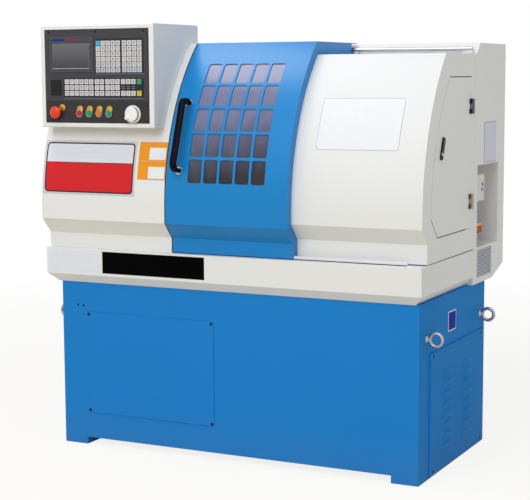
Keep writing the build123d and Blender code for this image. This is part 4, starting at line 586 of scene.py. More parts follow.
class Shop:
    """Tools that make a finished mesh object at the origin and put it on its body."""

    @staticmethod
    def add(name: str, data: bpy.types.ID) -> Piece:
        """Object of a mesh, lamp or camera, linked to the scene.

        Args:
            name: The object's name.
            data: What the object holds.

        Returns:
            The object.
        """
        made = bpy.data.objects.new(name, data)
        bpy.context.scene.collection.objects.link(made)
        return made

    @staticmethod
    def from_bmesh(name: str, form: bmesh.types.BMesh) -> Piece:
        """Object of a bmesh with outward faces and smooth shading under an angle.

        Args:
            name: The object's name.
            form: The bmesh, which is freed.

        Returns:
            The object.
        """
        bmesh.ops.remove_doubles(form, verts=form.verts, dist=SAME_POINT)
        bmesh.ops.recalc_face_normals(form, faces=form.faces)
        return Shop.add(name, Shop.smoothed(name, form))

    @staticmethod
    def smoothed(name: str, form: bmesh.types.BMesh) -> Mesh:
        """Mesh of a bmesh, smooth but for its sharp edges.

        Args:
            name: The mesh's name.
            form: The bmesh, which is freed.

        Returns:
            The mesh.
        """
        mesh = bpy.data.meshes.new(name)
        form.to_mesh(mesh)
        form.free()
        mesh.shade_smooth()
        mesh.set_sharp_from_angle(angle=SHARP_ANGLE)
        return mesh

    @staticmethod
    def baked(piece: Piece) -> None:
        """Turns a piece's modifiers into plain mesh.

        Args:
            piece: The object with its modifiers.
        """
        graph = bpy.context.evaluated_depsgraph_get()
        mesh = bpy.data.meshes.new_from_object(piece.evaluated_get(graph), depsgraph=graph)
        piece.modifiers.clear()
        old, piece.data = piece.data, mesh
        bpy.data.meshes.remove(old)
        mesh.name = piece.name

    @staticmethod
    def bevelled(piece: Piece, width: float, segments: int = 2) -> None:
        """Rounds a piece's edges.

        Args:
            piece: The object.
            width: Width of the rounding in metres.
            segments: Faces across the rounding.
        """
        bevel = piece.modifiers.new("edge", "BEVEL")
        bevel.width, bevel.segments = width, segments
        bevel.limit_method, bevel.angle_limit = "ANGLE", ROUNDED_ANGLE
        bevel.miter_outer, bevel.harden_normals = "MITER_ARC", True
        Shop.baked(piece)
        Shop.flatten(piece.data)

    @staticmethod
    def flatten(mesh: Mesh) -> None:
        """Gives each wide face its own flat normal.

        Args:
            mesh: The mesh, which gets custom normals.
        """
        normals = [corner.vector.copy() for corner in mesh.corner_normals]
        for face in mesh.polygons:
            if face.area > WIDE_FACE:
                for index in face.loop_indices:
                    normals[index] = face.normal.copy()
        mesh.normals_split_custom_set(normals)

    @staticmethod
    def settle(
        piece: Piece, finish: Optional[Finish], body: str = "machine", slot: Optional[str] = None
    ) -> Piece:
        """Gives a piece its finish and body.

        Args:
            piece: The finished object.
            finish: Its finish, or None where its mesh already carries one.
            body: The CAD body that it moves with.
            slot: Not used.

        Returns:
            The piece.
        """
        if finish is not None:
            piece.data.materials.clear()
            piece.data.materials.append(finish.material())
        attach(piece, body)
        LOG.info("%s rides on %s, %d faces", piece.name, body, len(piece.data.polygons))
        return piece

    @staticmethod
    def soften(node: str, finish: Finish, width: float, bowed: bool = False) -> None:
        """A copy of a CAD node with rounded edges, which stands for the node.

        Args:
            node: The CAD node's name.
            finish: The copy's finish.
            width: Width of the rounded edges in metres, or zero for smooth shading alone.
            bowed: Whether the node has faces on the covers' bow.
        """
        form = bmesh.new()
        form.from_mesh(frame["nodes"][node].data)
        bmesh.ops.remove_doubles(form, verts=form.verts, dist=SAME_CORNER)
        bmesh.ops.dissolve_limit(
            form, angle_limit=FLAT_ANGLE, verts=form.verts, edges=form.edges
        )
        piece = Shop.add(f"{node}_shell", Shop.smoothed(node, form))
        if width:
            Shop.bevelled(piece, width)
        else:
            Shop.flatten(piece.data)
        if bowed:
            CoverCurve().true_normals(piece.data)
        Shop.settle(piece, finish, BODY_OF[node], SLOT_OF[node])
        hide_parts(node)

    @staticmethod
    def coat(node: str, finish: Finish) -> None:
        """Gives a CAD node that stays as it is a finish.

        Args:
            node: The CAD node's name.
            finish: Its finish.
        """
        piece = frame["nodes"][node]
        piece.data.materials.clear()
        piece.data.materials.append(finish.material())
        LOG.info("%s stays, in %s", node, finish.name)

    @staticmethod
    def loft(name: str, loops: Sequence[Sequence[Vector]]) -> Piece:
        """Closed skin over loops of points, with a cap at each end.

        Args:
            name: The object's name.
            loops: Loops with the same number of points each.

        Returns:
            The object.
        """
        form = bmesh.new()
        rings = [[form.verts.new(point) for point in loop] for loop in loops]
        for near, far in zip(rings, rings[1:]):
            for index in range(len(near)):
                after = (index + 1) % len(near)
                form.faces.new((near[index], near[after], far[after], far[index]))
        form.faces.new(rings[0][::-1])
        form.faces.new(rings[-1])
        return Shop.from_bmesh(name, form)

    @staticmethod
    def turned(
        name: str, profile: Profile, origin: Vector, axis: Vector, finish: Finish,
        body: str = "machine", sides: int = 40, slot: Optional[str] = None,
    ) -> Piece:
        """Turned piece on an axis, with its finish and body.

        Args:
            name: The piece's name.
            profile: Pairs of distance along the axis and radius, in millimetres.
            origin: Where the axis starts.
            axis: Where the axis points.
            finish: Its finish.
            body: The CAD body that it moves with.
            sides: Points round the axis.
            slot: Not used.

        Returns:
            The piece.
        """
        turn = axis.to_track_quat("Z", "Y").to_matrix()
        angles = [2 * math.pi * step / sides for step in range(sides)]
        loops = []
        for along, radius in ((along * MM, radius * MM) for along, radius in profile):
            ring = [(radius * math.cos(angle), radius * math.sin(angle)) for angle in angles]
            loops.append([origin + turn @ Vector((*point, along)) for point in ring])
        return Shop.settle(Shop.loft(name, loops), finish, body, slot)

    @staticmethod
    def plate(
        name: str, span: Pair, rise: Pair, place: Place, thick: float, corner: float = 0.0,
        upper_corner: Optional[float] = None,
    ) -> Piece:
        """Thin plate with rounded corners that follows a surface.

        Args:
            name: The object's name.
            span: Its two sides along the surface.
            rise: Its lower and upper edge.
            place: Gives the surface's point and outward direction at a span and a rise value.
            thick: Thickness in metres.
            corner: Radius of the corners.
            upper_corner: Radius of the two upper corners where it is another one.

        Returns:
            The object.
        """
        corner_steps, middle_steps = 5, 14
        top = corner if upper_corner is None else upper_corner
        turns = [math.pi / 2 * step / corner_steps for step in range(corner_steps + 1)]
        straight = rise[1] - rise[0] - corner - top
        rows = [
            (rise[0] + corner * (1 - math.cos(turn)), corner * (1 - math.sin(turn)))
            for turn in turns
        ]
        rows += [
            (rise[0] + corner + straight * step / middle_steps, 0.0)
            for step in range(1, middle_steps)
        ]
        rows += [
            (rise[1] - top * (1 - math.cos(turn)), top * (1 - math.sin(turn)))
            for turn in reversed(turns)
        ]
        loops = []
        for height, inward in rows:
            loop = []
            for across, depth in ((0, thick), (1, thick), (1, 0.0), (0, 0.0)):
                side = span[across] + (inward if across == 0 else -inward)
                point, outward = place(side, height)
                loop.append(point + outward * depth)
            if not loops or (loop[0] - loops[-1][0]).length > SAME_POINT:
                loops.append(loop)
        return Shop.loft(name, loops)

    @staticmethod
    def layered(
        name: str, span: Pair, rise: Pair, place: Place, layers: Iterable[Layer]
    ) -> None:
        """Plates of the machine that lie on one another, each set in by its own distance.

        Args:
            name: Start of the plates' names.
            span: The whole plate's two sides.
            rise: Its lower and upper edge.
            place: The surface that they follow.
            layers: Name, inset, thickness, corner radius and finish of each plate.
        """
        for suffix, inset, thick, corner, finish in layers:
            sides, ends = (span[0] + inset, span[1] - inset), (rise[0] + inset, rise[1] - inset)
            plate = Shop.plate(f"{name}_{suffix}", sides, ends, place, thick, corner)
            Shop.settle(plate, finish)

    @staticmethod
    def brick(
        name: str, centre: Vector, along: Vector, across: Vector, out: Vector
    ) -> Piece:
        """Block about a centre.

        Args:
            name: The object's name.
            centre: The block's middle.
            along: Half of its length, as a vector.
            across: Half of its width, as a vector.
            out: Half of its thickness, as a vector.

        Returns:
            The object.
        """
        ways = ((-1, -1), (1, -1), (1, 1), (-1, 1))
        loops = [
            [centre + out * side + along * i + across * j for i, j in ways] for side in (-1, 1)
        ]
        return Shop.loft(name, loops)


class NodeForm(Graph):
    """A Geometry Nodes tree with named inputs that ends in real mesh with a material."""

    def __init__(self, name: str) -> None:
        """Starts a tree with a geometry input and output.

        Args:
            name: The tree's name.
        """
        super().__init__(bpy.data.node_groups.new(name, "GeometryNodeTree"))
        for way in ("INPUT", "OUTPUT"):
            self.tree.interface.new_socket(
                "Geometry", in_out=way, socket_type="NodeSocketGeometry"
            )
        self.source = self.tree.nodes.new("NodeGroupInput")
        self.points = Sock(self, self.source.outputs["Geometry"])
        self.material = self.size("Material", "NodeSocketMaterial")

    def size(self, name: str, kind: str = "NodeSocketFloat") -> Sock:
        """Adds a named input and returns its socket inside the tree."""
        self.tree.interface.new_socket(name, in_out="INPUT", socket_type=kind)
        return Sock(self, self.source.outputs[name])

    def turn(self) -> Sock:
        """Adds the input for the way that the shape on a point faces."""
        return self.size("Turn", "NodeSocketVector")

    def compare(self, operation: str, value: Sock, limit: float) -> Sock:
        """One Compare node."""
        return self.node("FunctionNodeCompare", {"operation": operation}, {0: value, 1: limit})

    def vector(self, x: Value, y: Value, z: Value) -> Sock:
        """One vector from three values."""
        return self.node("ShaderNodeCombineXYZ", {}, {0: x, 1: y, 2: z})

    def cube(self, size: Sock) -> Sock:
        """A block of a size."""
        return self.node("GeometryNodeMeshCube", {}, {"Size": size}, "Mesh")

    def drum(self, sides: int, radius: Sock, depth: Sock) -> Sock:
        """A cylinder about its middle."""
        sizes = {"Vertices": sides, "Radius": radius, "Depth": depth}
        return self.node("GeometryNodeMeshCylinder", {}, sizes, "Mesh")

    def circle(self, points: int, radius: Value) -> Sock:
        """A round curve."""
        sizes = {"Resolution": points, "Radius": radius}
        return self.node("GeometryNodeCurvePrimitiveCircle", {}, sizes, "Curve")

    def joined(self, parts: list[Sock]) -> Sock:
        """Several geometries as one."""
        return self.node("GeometryNodeJoinGeometry", {}, {"Geometry": parts})

    def swept(self, curve: Sock, profile: Sock, caps: bool) -> Sock:
        """A profile drawn along a curve, with or without closed ends."""
        inputs = {"Curve": curve, "Profile Curve": profile, "Fill Caps": caps}
        return self.node("GeometryNodeCurveToMesh", {}, inputs)

    def moved(self, geometry: Sock, offset: Sock) -> Sock:
        """Geometry moved by an offset."""
        inputs = {"Geometry": geometry, "Translation": offset}
        return self.node("GeometryNodeTransform", {}, inputs)

    def scattered(self, shape: Sock, **aims: Sock) -> Sock:
        """A shape on every point that the tree is given, with its Rotation and Scale."""
        inputs = {"Points": self.points, "Instance": shape, **aims}
        return self.node("GeometryNodeInstanceOnPoints", {}, inputs)

    def close(self, geometry: Sock) -> "NodeForm":
        """Ends the tree in real mesh with the material.

        Args:
            geometry: What the tree has made.

        Returns:
            The tree itself.
        """
        real = self.node("GeometryNodeRealizeInstances", {}, {"Geometry": geometry})
        dressed = self.node(
            "GeometryNodeSetMaterial", {}, {"Geometry": real, "Material": self.material}
        )
        self.end("NodeGroupOutput", dressed)
        return self

    def make(
        self, name: str, points: Sequence[Vector], sizes: dict[str, Any], finish: Finish,
        body: str = "machine", slot: Optional[str] = None,
    ) -> None:
        """Runs the tree on points and keeps the result as a plain mesh on a body.

        Args:
            name: The piece's name.
            points: Where the repeated shape goes, or the path that it follows.
            sizes: Values of the tree's named inputs.
            finish: The finish of the whole piece.
            body: The CAD body that it moves with.
            slot: Not used.
        """
        mesh = bpy.data.meshes.new(name)
        steps = [(index, index + 1) for index in range(len(points) - 1)]
        mesh.from_pydata([tuple(point) for point in points], steps, [])
        piece = Shop.add(name, mesh)
        modifier = piece.modifiers.new("form", "NODES")
        modifier.node_group = self.tree
        values = {**sizes, "Material": finish.material()}
        for item in self.tree.interface.items_tree:
            if item.item_type == "SOCKET" and item.in_out == "INPUT" and item.name in values:
                modifier[item.identifier] = values[item.name]
        Shop.baked(piece)
        piece.data.set_sharp_from_angle(angle=SHARP_ANGLE)
        Shop.settle(piece, None, body, slot)


def screw_form() -> NodeForm:
    """Tree of socket head screws: a dished head with a six-sided recess on every point.

    Returns:
        The tree.
    """
    sides, crown_share, recess_share = 20, 0.72, 0.48
    form = NodeForm("screws")
    radius, height, turn = form.size("Radius"), form.size("Height"), form.turn()
    half = height * 0.5
    drum = form.drum(sides, radius, height)
    sizes = {"Vertices": sides, "Radius Top": radius * crown_share, "Radius Bottom": radius,
             "Depth": half}
    crown = form.node("GeometryNodeMeshCone", {}, sizes, "Mesh")
    recess = form.drum(6, radius * recess_share, height)
    solid = form.joined([drum, form.moved(crown, form.vector(0, 0, half))])
    head = form.node(
        "GeometryNodeMeshBoolean", {"operation": "DIFFERENCE"},
        {"Mesh 1": solid, "Mesh 2": form.moved(recess, form.vector(0, 0, height))},
    )
    return form.close(form.scattered(head, Rotation=turn))


def key_form() -> NodeForm:
    """Tree of membrane keys: a low block with a smaller raised top on every point.

    Returns:
        The tree.
    """
    form = NodeForm("keys")
    width, depth, height = form.size("Width"), form.size("Depth"), form.size("Height")
    turn, top_share = form.turn(), form.size("Top share")
    base_height = height * 0.5
    upward = form.axis(form.node("GeometryNodeInputNormal", {}, {}), "Z")
    raised = form.node(
        "GeometryNodeExtrudeMesh", {},
        {"Mesh": form.cube(form.vector(width, depth, base_height)),
         "Selection": form.compare("GREATER_THAN", upward, 0.5), "Offset Scale": base_height},
        "Mesh",
    )
    capped = form.node(
        "GeometryNodeScaleElements", {},
        {"Geometry": raised, "Selection": raised.other("Top"), "Scale": top_share},
    )
    return form.close(form.scattered(capped, Rotation=turn))


def legend_form() -> NodeForm:
    """Tree of printed key legends: two short bars of varied length on every point.

    Returns:
        The tree.
    """
    lower_share, drop, shortest, seed = 0.6, -1.8, 0.45, 7
    form = NodeForm("legends")
    width, height, turn = form.size("Width"), form.size("Height"), form.turn()
    thick = form.size("Thickness")
    upper = form.cube(form.vector(width, height, thick))
    lower = form.cube(form.vector(width * lower_share, height, thick))
    shift = form.vector(0, height * drop, 0)
    pair = form.joined([upper, form.moved(lower, shift)])
    length = form.node(
        "FunctionNodeRandomValue", {"data_type": "FLOAT"}, {2: shortest, 3: 1.0, "Seed": seed}, 1
    )
    scale = form.vector(length, 1.0, 1.0)
    return form.close(form.scattered(pair, Rotation=turn, Scale=scale))


def louvre_form() -> NodeForm:
    """Tree of pressed louvres: a swelling that is open along its lower edge, on every point.

    Returns:
        The tree.
    """
    edge = -1e-5
    form = NodeForm("louvres")
    length, height, depth = form.size("Length"), form.size("Height"), form.size("Depth")
    sizes = {"Segments": 40, "Rings": 24, "Radius": 1.0}
    ball = form.node("GeometryNodeMeshUVSphere", {}, sizes, "Mesh")
    scale = form.vector(depth, length * 0.5, height)
    swell = form.node("GeometryNodeTransform", {}, {"Geometry": ball, "Scale": scale})
    at = form.node("GeometryNodeInputPosition", {}, {})
    inside = form.compare("LESS_THAN", form.axis(at, "X"), edge)
    below = form.compare("LESS_THAN", form.axis(at, "Z"), edge)
    dropped = form.node("FunctionNodeBooleanMath", {"operation": "OR"}, {0: inside, 1: below})
    hood = form.node(
        "GeometryNodeDeleteGeometry", {}, {"Geometry": swell, "Selection": dropped}
    )
    spots = form.scattered(hood)
    return form.close(form.node("GeometryNodeSetShadeSmooth", {}, {"Geometry": spots}))


def bar_form() -> NodeForm:
    """Tree of plain bars, one on every point, as for slits, wipers and ruled lines.

    Returns:
        The tree.
    """
    form = NodeForm("bars")
    size = form.size("Size", "NodeSocketVector")
    return form.close(form.scattered(form.cube(size)))


def thread_form() -> NodeForm:
    """Tree of a screw thread: a round ridge along a helix about a point.

    Returns:
        The tree.
    """
    form = NodeForm("threads")
    radius, length, turns = form.size("Radius"), form.size("Length"), form.size("Turns")
    ridge, turn = form.size("Ridge"), form.turn()
    helix = form.node(
        "GeometryNodeCurveSpiral", {},
        {"Resolution": 16, "Rotations": turns, "Start Radius": radius, "End Radius": radius,
         "Height": length},
    )
    tube = form.swept(helix, form.circle(5, ridge), True)
    return form.close(form.scattered(tube, Rotation=turn))


def ring_form() -> NodeForm:
    """Tree of wire rings round a point, as on a fan guard.

    Returns:
        The tree.
    """
    form = NodeForm("rings")
    radius, wire = form.size("Radius"), form.size("Wire")
    count, turn = form.size("Count", "NodeSocketInt"), form.turn()
    line = form.node("GeometryNodeMeshLine", {}, {"Count": count, "Offset": (0.0, 0.0, 0.0)})
    index = form.node("GeometryNodeInputIndex", {}, {})
    step = form.node("ShaderNodeMath", {"operation": "DIVIDE"}, {0: index + 1.0, 1: count})
    reach = step * radius
    loops = form.node(
        "GeometryNodeInstanceOnPoints", {},
        {"Points": line, "Instance": form.circle(40, 1.0),
         "Scale": form.vector(reach, reach, reach)},
    )
    curves = form.node("GeometryNodeRealizeInstances", {}, {"Geometry": loops})
    guard = form.swept(curves, form.circle(6, wire), False)
    return form.close(form.scattered(guard, Rotation=turn))


def bead_form() -> NodeForm:
    """Tree of a round bead along the path through the points, as for seals and seams.

    Returns:
        The tree.
    """
    form = NodeForm("beads")
    radius = form.size("Radius")
    path = form.node("GeometryNodeMeshToCurve", {}, {"Mesh": form.points})
    return form.close(form.swept(path, form.circle(8, radius), True))


class Forms:
    """The trees that several sub-assemblies use."""

    SCREWS = screw_form()
    KEYS = key_form()
    LEGENDS = legend_form()
    LOUVRES = louvre_form()
    BARS = bar_form()
    THREADS = thread_form()
    RINGS = ring_form()
    BEADS = bead_form()

    @staticmethod
    def screws(
        name: str, points: Sequence[Vector], radius: float, height: float, facing: Facing,
        body: str = "machine",
    ) -> None:
        """Blacked socket head screws on points, with heads of one size that face one side."""
        sizes = {"Radius": radius, "Height": height, "Turn": facing.value}
        Forms.SCREWS.make(name, points, sizes, Kit.BLACKED, body)


def end_place(x: float) -> Place:
    """Flat place on the right end: span runs to the back and rise up."""
    return lambda span, rise: (Vector((x, span, rise)), Vector((1, 0, 0)))


def front_place(y: float) -> Place:
    """Flat place on the front: span runs to the right and rise up."""
    return lambda span, rise: (Vector((span, y, rise)), Vector((0, -1, 0)))


@dataclass(frozen=True)
class CoverCurve:
    """The covers' bowed face: an arc that starts upright above the belly."""

    radius: float = 791 * MM
    start: float = 870 * MM
    profile: Profile = (
        (48 * MM, 722 * MM), (48 * MM, 773 * MM), (0.0, 826 * MM), (0.0, 870 * MM)
    )
    edge_steps: int = 24
    near_arc: float = 0.985

    @property
    def centre(self) -> float:
        """Place of the arc's axis from front to back."""
        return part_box("headstock_cover")[0].y + self.radius

    def place(self, inset: float = 0.0) -> Place:
        """Place on the bowed face of a cover.

        Args:
            inset: Distance that the cover is set in by.

        Returns:
            Gives a point and outward direction at a span and a height.
        """
        centre, radius = self.centre, self.radius - inset

        def at(span: float, rise: float) -> tuple[Vector, Vector]:
            """Point and outward direction on the bow.

            Args:
                span: Place from left to right.
                rise: Height.

            Returns:
                The point and the direction.
            """
            over = max(0.0, rise - self.start)
            back = math.sqrt(radius * radius - over * over)
            outward = Vector((0, -back / radius, over / radius))
            return Vector((span, centre - back, rise)), outward

        return at

    def edge_path(self, x: float, top: float) -> list[Vector]:
        """Points along a cover's outline, from its skirt up.

        Args:
            x: Place from left to right.
            top: Height of the last point.

        Returns:
            The points.
        """
        belly, face = self.centre - self.radius, self.place()
        points = [Vector((x, belly + back, rise)) for back, rise in self.profile]
        for step in range(1, self.edge_steps + 1):
            rise = self.start + (top - self.start) * step / self.edge_steps
            points.append(face(x, rise)[0])
        return points

    def true_normals(self, mesh: Mesh) -> None:
        """Sets the exact normals of the faces that lie on the bow.

        Args:
            mesh: The mesh, which gets custom normals.
        """
        centre = self.centre

        def spoke(point: Vector) -> Vector:
            """Direction from the arc's axis to a point."""
            return Vector((0, point.y - centre, point.z - self.start)).normalized()

        normals = [corner.vector.copy() for corner in mesh.corner_normals]
        for face in mesh.polygons:
            along = face.normal.dot(spoke(face.center))
            if face.center.z < self.start or abs(along) < self.near_arc:
                continue
            for index in face.loop_indices:
                outward = spoke(mesh.vertices[mesh.loops[index].vertex_index].co)
                normals[index] = outward if along > 0 else -outward
        mesh.normals_split_custom_set(normals)


@dataclass
class Stand:
    """The blue stand with its access panels, louvres, lifting eyes and bare sign."""

    edge: float = 2.5 * MM
    panel_edge: float = 0.8 * MM
    screw_radius: float = 5.5 * MM
    screw_height: float = 1.6 * MM
    screw_inset: float = 8 * MM
    end_corner: float = 3 * MM
    end_edge: float = 1.2 * MM
    end_screw_inset: Pair = (30 * MM, 14 * MM)
    louvre_length: float = 118 * MM
    louvre_height: float = 19 * MM
    louvre_depth: float = 6 * MM
    louvre_pitch: Pair = (202 * MM, 36 * MM)
    louvre_rows: int = 8
    louvre_middle: Pair = (29.5 * MM, 196 * MM)
    slit_height: float = 4 * MM
    slit_depth: float = 0.4 * MM
    slit_share: float = 0.86
    sign_span: Pair = (-57 * MM, 21 * MM)
    sign_rise: Pair = (464 * MM, 532 * MM)
    sign_layers: tuple[Layer, ...] = (
        ("border", 0.0, 0.8 * MM, 2 * MM, Kit.PLATE_CLEAR),
        ("field", 3.5 * MM, 1.1 * MM, 1 * MM, Kit.PLATE_BLUE),
    )
    plugs: tuple[Pair, ...] = ((-619 * MM, 511 * MM), (-596 * MM, 510 * MM))
    plug_profile: Profile = ((0, 4), (0.8, 4), (1.2, 3))
    plug_sides: int = 20

    def build(self) -> None:
        """Builds and dresses the stand."""
        Shop.soften("stand_cabinet", Kit.BLUE, self.edge)
        Shop.soften("front_access_panel", Kit.BLUE, self.panel_edge)
        Shop.soften("lifting_eyebolts", Kit.EYE_ZINC, 0.0)
        self.front_screws()
        self.end_panel()
        self.sign()

    def front_screws(self) -> None:
        """Screws at the front panel's corners."""
        low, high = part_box("front_access_panel")
        inset = self.screw_inset
        points = [
            Vector((x, low.y, z))
            for x in (low.x + inset, high.x - inset) for z in (low.z + inset, high.z - inset)
        ]
        self.screws("front_panel_screws", points, Facing.FRONT)

    def screws(self, name: str, points: Sequence[Vector], facing: Facing) -> None:
        """Panel screws on points that look towards a side."""
        Forms.screws(name, points, self.screw_radius, self.screw_height, facing)

    def end_panel(self) -> None:
        """End panel with pressed louvres over painted shade in their slits, and its screws."""
        slot = SLOT_OF["end_louvre_panel"]
        low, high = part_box("end_louvre_panel")
        sheet = high.x - self.louvre_depth
        panel = Shop.plate(
            "end_panel_sheet", (low.y, high.y), (low.z, high.z), end_place(low.x), sheet - low.x,
            self.end_corner,
        )
        Shop.bevelled(panel, self.end_edge)
        Shop.settle(panel, Kit.BLUE, slot=slot)
        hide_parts("end_louvre_panel")
        middle_y, middle_z = self.louvre_middle
        across, upright = self.louvre_pitch
        points = [
            Vector((sheet, middle_y + column * across,
                    middle_z + (row - (self.louvre_rows - 1) / 2) * upright))
            for column in (-0.5, 0.5) for row in range(self.louvre_rows)
        ]
        sizes = {"Length": self.louvre_length, "Height": self.louvre_height,
                 "Depth": self.louvre_depth}
        Forms.LOUVRES.make("end_panel_louvres", points, sizes, Kit.BLUE, slot=slot)
        # Dark bars under the louvres are painted shade in the slits.
        lift = Vector((0, 0, self.slit_height / 2))
        size = (self.slit_depth, self.louvre_length * self.slit_share, self.slit_height)
        slits = [point + lift for point in points]
        Forms.BARS.make("end_panel_slits", slits, {"Size": size}, Kit.GAP_SHADE)
        across, upright = self.end_screw_inset
        corners = [
            Vector((sheet, y, z))
            for y in (low.y + across, high.y - across)
            for z in (low.z + upright, high.z - upright)
        ]
        self.screws("end_panel_screws", corners, Facing.RIGHT)

    def sign(self) -> None:
        """Small bare sign above the end panel, and two dark plugs on the front."""
        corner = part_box("stand_cabinet")[0]
        right = -corner.x  # the stand is centred from left to right
        Shop.layered("sign", self.sign_span, self.sign_rise, end_place(right), self.sign_layers)
        for index, (x, z) in enumerate(self.plugs):
            Shop.turned(
                f"front_plug_{index + 1}", self.plug_profile, Vector((x, corner.y, z)),
                Facing.FRONT.normal, Kit.RUBBER, sides=self.plug_sides,
            )


@dataclass
class Covers:
    """White covers, tray and rear housing with their plates, hinges and lubricator."""

    curve: CoverCurve = CoverCurve()
    right_inset: float = 35 * MM
    tray_edge: float = 1.6 * MM
    sheet_edge: float = 0.9 * MM
    hinge_edge: float = 0.3 * MM
    latch_edge: float = 0.8 * MM
    plate_thick: float = 0.9 * MM
    name_span: Pair = (-721 * MM, -341 * MM)
    name_rise: Pair = (915 * MM, 1103 * MM)
    name_margin: float = 7 * MM
    name_line: float = 5 * MM
    name_corners: Triple = (1 * MM, 14 * MM, 10 * MM)
    name_layers: Triple = (0.0, 0.2 * MM, 0.4 * MM)
    name_fields: Pair = (0.55 * MM, 0.7 * MM)
    name_split: float = 0.6
    name_divide: float = 2 * MM
    amber_span: Pair = (-331 * MM, -219 * MM)
    amber_rise: Pair = (974 * MM, 1103 * MM)
    amber_gap: float = 1 * MM
    amber_corner: float = 1 * MM
    amber_thick: float = 0.7 * MM
    amber_field_sides: Pair = (42 * MM, 5 * MM)
    amber_field_ends: Pair = (4 * MM, 20 * MM)
    field_thick: float = 0.9 * MM
    field_corner: float = 0.5 * MM
    black_span: Pair = (-492 * MM, -82 * MM)
    black_rise: Pair = (636 * MM, 713 * MM)
    black_thick: float = 0.8 * MM
    pale_span: Pair = (-722 * MM, -500 * MM)
    pale_thick: float = 0.6 * MM
    clear_span: Pair = (318 * MM, 606 * MM)
    clear_rise: Pair = (1086 * MM, 1252 * MM)
    clear_layers: tuple[Layer, ...] = (
        ("line", 0.0, 0.5 * MM, 9 * MM, Kit.PLATE_GREY),
        ("field", 1.2 * MM, 0.7 * MM, 8 * MM, Kit.PLATE_CLEAR),
    )
    upper_label: tuple[Pair, Pair] = ((264 * MM, 398 * MM), (1018 * MM, 1160 * MM))
    lower_label: tuple[Pair, Pair] = ((199 * MM, 361 * MM), (616 * MM, 713 * MM))
    label_edge: float = 0.5 * MM
    label_thick: float = 0.7 * MM
    label_border: float = 1.6 * MM
    label_corners: Pair = (2 * MM, 1 * MM)
    label_rows: int = 11
    label_margin: float = 12 * MM
    rule_depth: float = 0.3 * MM
    rule_share: float = 0.4
    bead: float = 1.6 * MM
    bead_sunk: float = 0.6
    bead_clear: float = 0.2 * MM
    track_bead: float = 1.3 * MM
    track_setback: float = 28 * MM
    track_end: float = 60 * MM
    tray_seam_start: float = 30 * MM
    cover_shade_drop: float = 2 * MM
    door_cut: Pair = (62 * MM, 64 * MM)
    door_gap_start: float = 170 * MM
    door_gap_end: float = 46 * MM
    side_hinge: Pair = (707.5 * MM, 111 * MM)
    side_hinge_heights: Pair = (894 * MM, 1220 * MM)
    sleeve_profile: Profile = ((-25.6, 6.25), (25.6, 6.25))
    sleeve_sides: int = 24
    leaf_gap: float = 11 * MM
    leaf_half: Pair = (6.5 * MM, 25.6 * MM)
    leaf_thick: float = 1.45 * MM
    knuckle_gap: float = 4 * MM
    knuckle_half: Pair = (4 * MM, 9.3 * MM)
    knuckle_thick: float = 2.2 * MM
    latch_pivot: Pair = (-187 * MM, 1070 * MM)
    latch_lean: float = 21.0
    band_half: Triple = (3.4 * MM, 9.8 * MM, 0.5 * MM)
    pump_edge: float = 1.5 * MM
    pump_lamps: tuple[tuple[str, Finish, float, float], ...] = (
        ("pump_lamp_red", Kit.LAMP_RED, 0.78, 0.62), ("pump_lamp_blue", Kit.LAMP_BLUE, 0.74, 0.44)
    )
    lamp_profile: Profile = ((-2, 7), (1, 7), (2.5, 5), (3, 2))
    filler_profile: Profile = ((0, 17), (7, 17), (9, 15), (9, 6))
    filler_inset: float = 28 * MM
    tank_edge: float = 1 * MM
    collars: tuple[tuple[str, Finish, float, float], ...] = (
        ("tank_bowl", Kit.OIL, 8 * MM, 32 * MM), ("tank_ring", Kit.FLOAT, 32.2 * MM, 44 * MM)
    )
    collar_proud: float = 3 * MM
    collar_edge: float = 3 * MM
    collar_segments: int = 3
    fan_inset: float = 130 * MM
    fan_profile: Profile = ((0, 62), (0.6, 62), (0.6, 8))
    fan_sides: int = 48
    guard_radius: float = 60 * MM
    guard_wire: float = 1.2 * MM
    guard_rings: int = 7
    guard_lift: float = 3 * MM
    lock_profile: Profile = ((0, 13), (4, 13), (5, 12), (5, 5))
    lock_inset: float = 26 * MM

    def build(self) -> None:
        """Builds and dresses the covers."""
        Shop.soften("chip_tray", Kit.WHITE, self.tray_edge)
        for node in ("headstock_cover", "right_cover"):
            Shop.soften(node, Kit.WHITE, self.sheet_edge, True)
        for node in ("rear_housing", "rear_cabinet_door"):
            Shop.soften(node, Kit.WHITE, self.sheet_edge)
        Shop.soften("side_access_door", Kit.WHITE, 0.0)
        Shop.soften("cabinet_hinges", Kit.BRASS, self.hinge_edge)
        Shop.soften("side_door_latch", Kit.BLACK, self.latch_edge)
        self.name_plate()
        self.amber_plates()
        self.tray_plates()
        self.clear_plate()
        self.end_labels()
        self.seams()
        self.hinges()
        self.lubricator()
        self.back_details()

    def name_plate(self) -> None:
        """Bare name plate: silver sheet, dark line, white field above a red one."""
        face, thick = self.curve.place(), self.plate_thick
        left, right = self.name_span
        low, high = self.name_rise
        inner = self.name_margin + self.name_line
        insets = (0.0, self.name_margin, inner)
        finishes = (Kit.SILVER, Kit.PLATE_LINE, Kit.PLATE_RED)
        thicks = [thick + proud for proud in self.name_layers]
        layers = zip(("sheet", "line", "red"), insets, thicks, self.name_corners, finishes)
        Shop.layered("name_plate", self.name_span, self.name_rise, face, layers)
        split = low + (high - low) * self.name_split
        for name, base, proud, finish in (
            ("divide", split - self.name_divide, self.name_fields[0], Kit.PLATE_LINE),
            ("white", split, self.name_fields[1], Kit.PLATE_WHITE),
        ):
            field = Shop.plate(
                f"name_plate_{name}", (left + inner, right - inner), (base, high - inner), face,
                thick + proud, 0.0, self.name_corners[-1],
            )
            Shop.settle(field, finish)

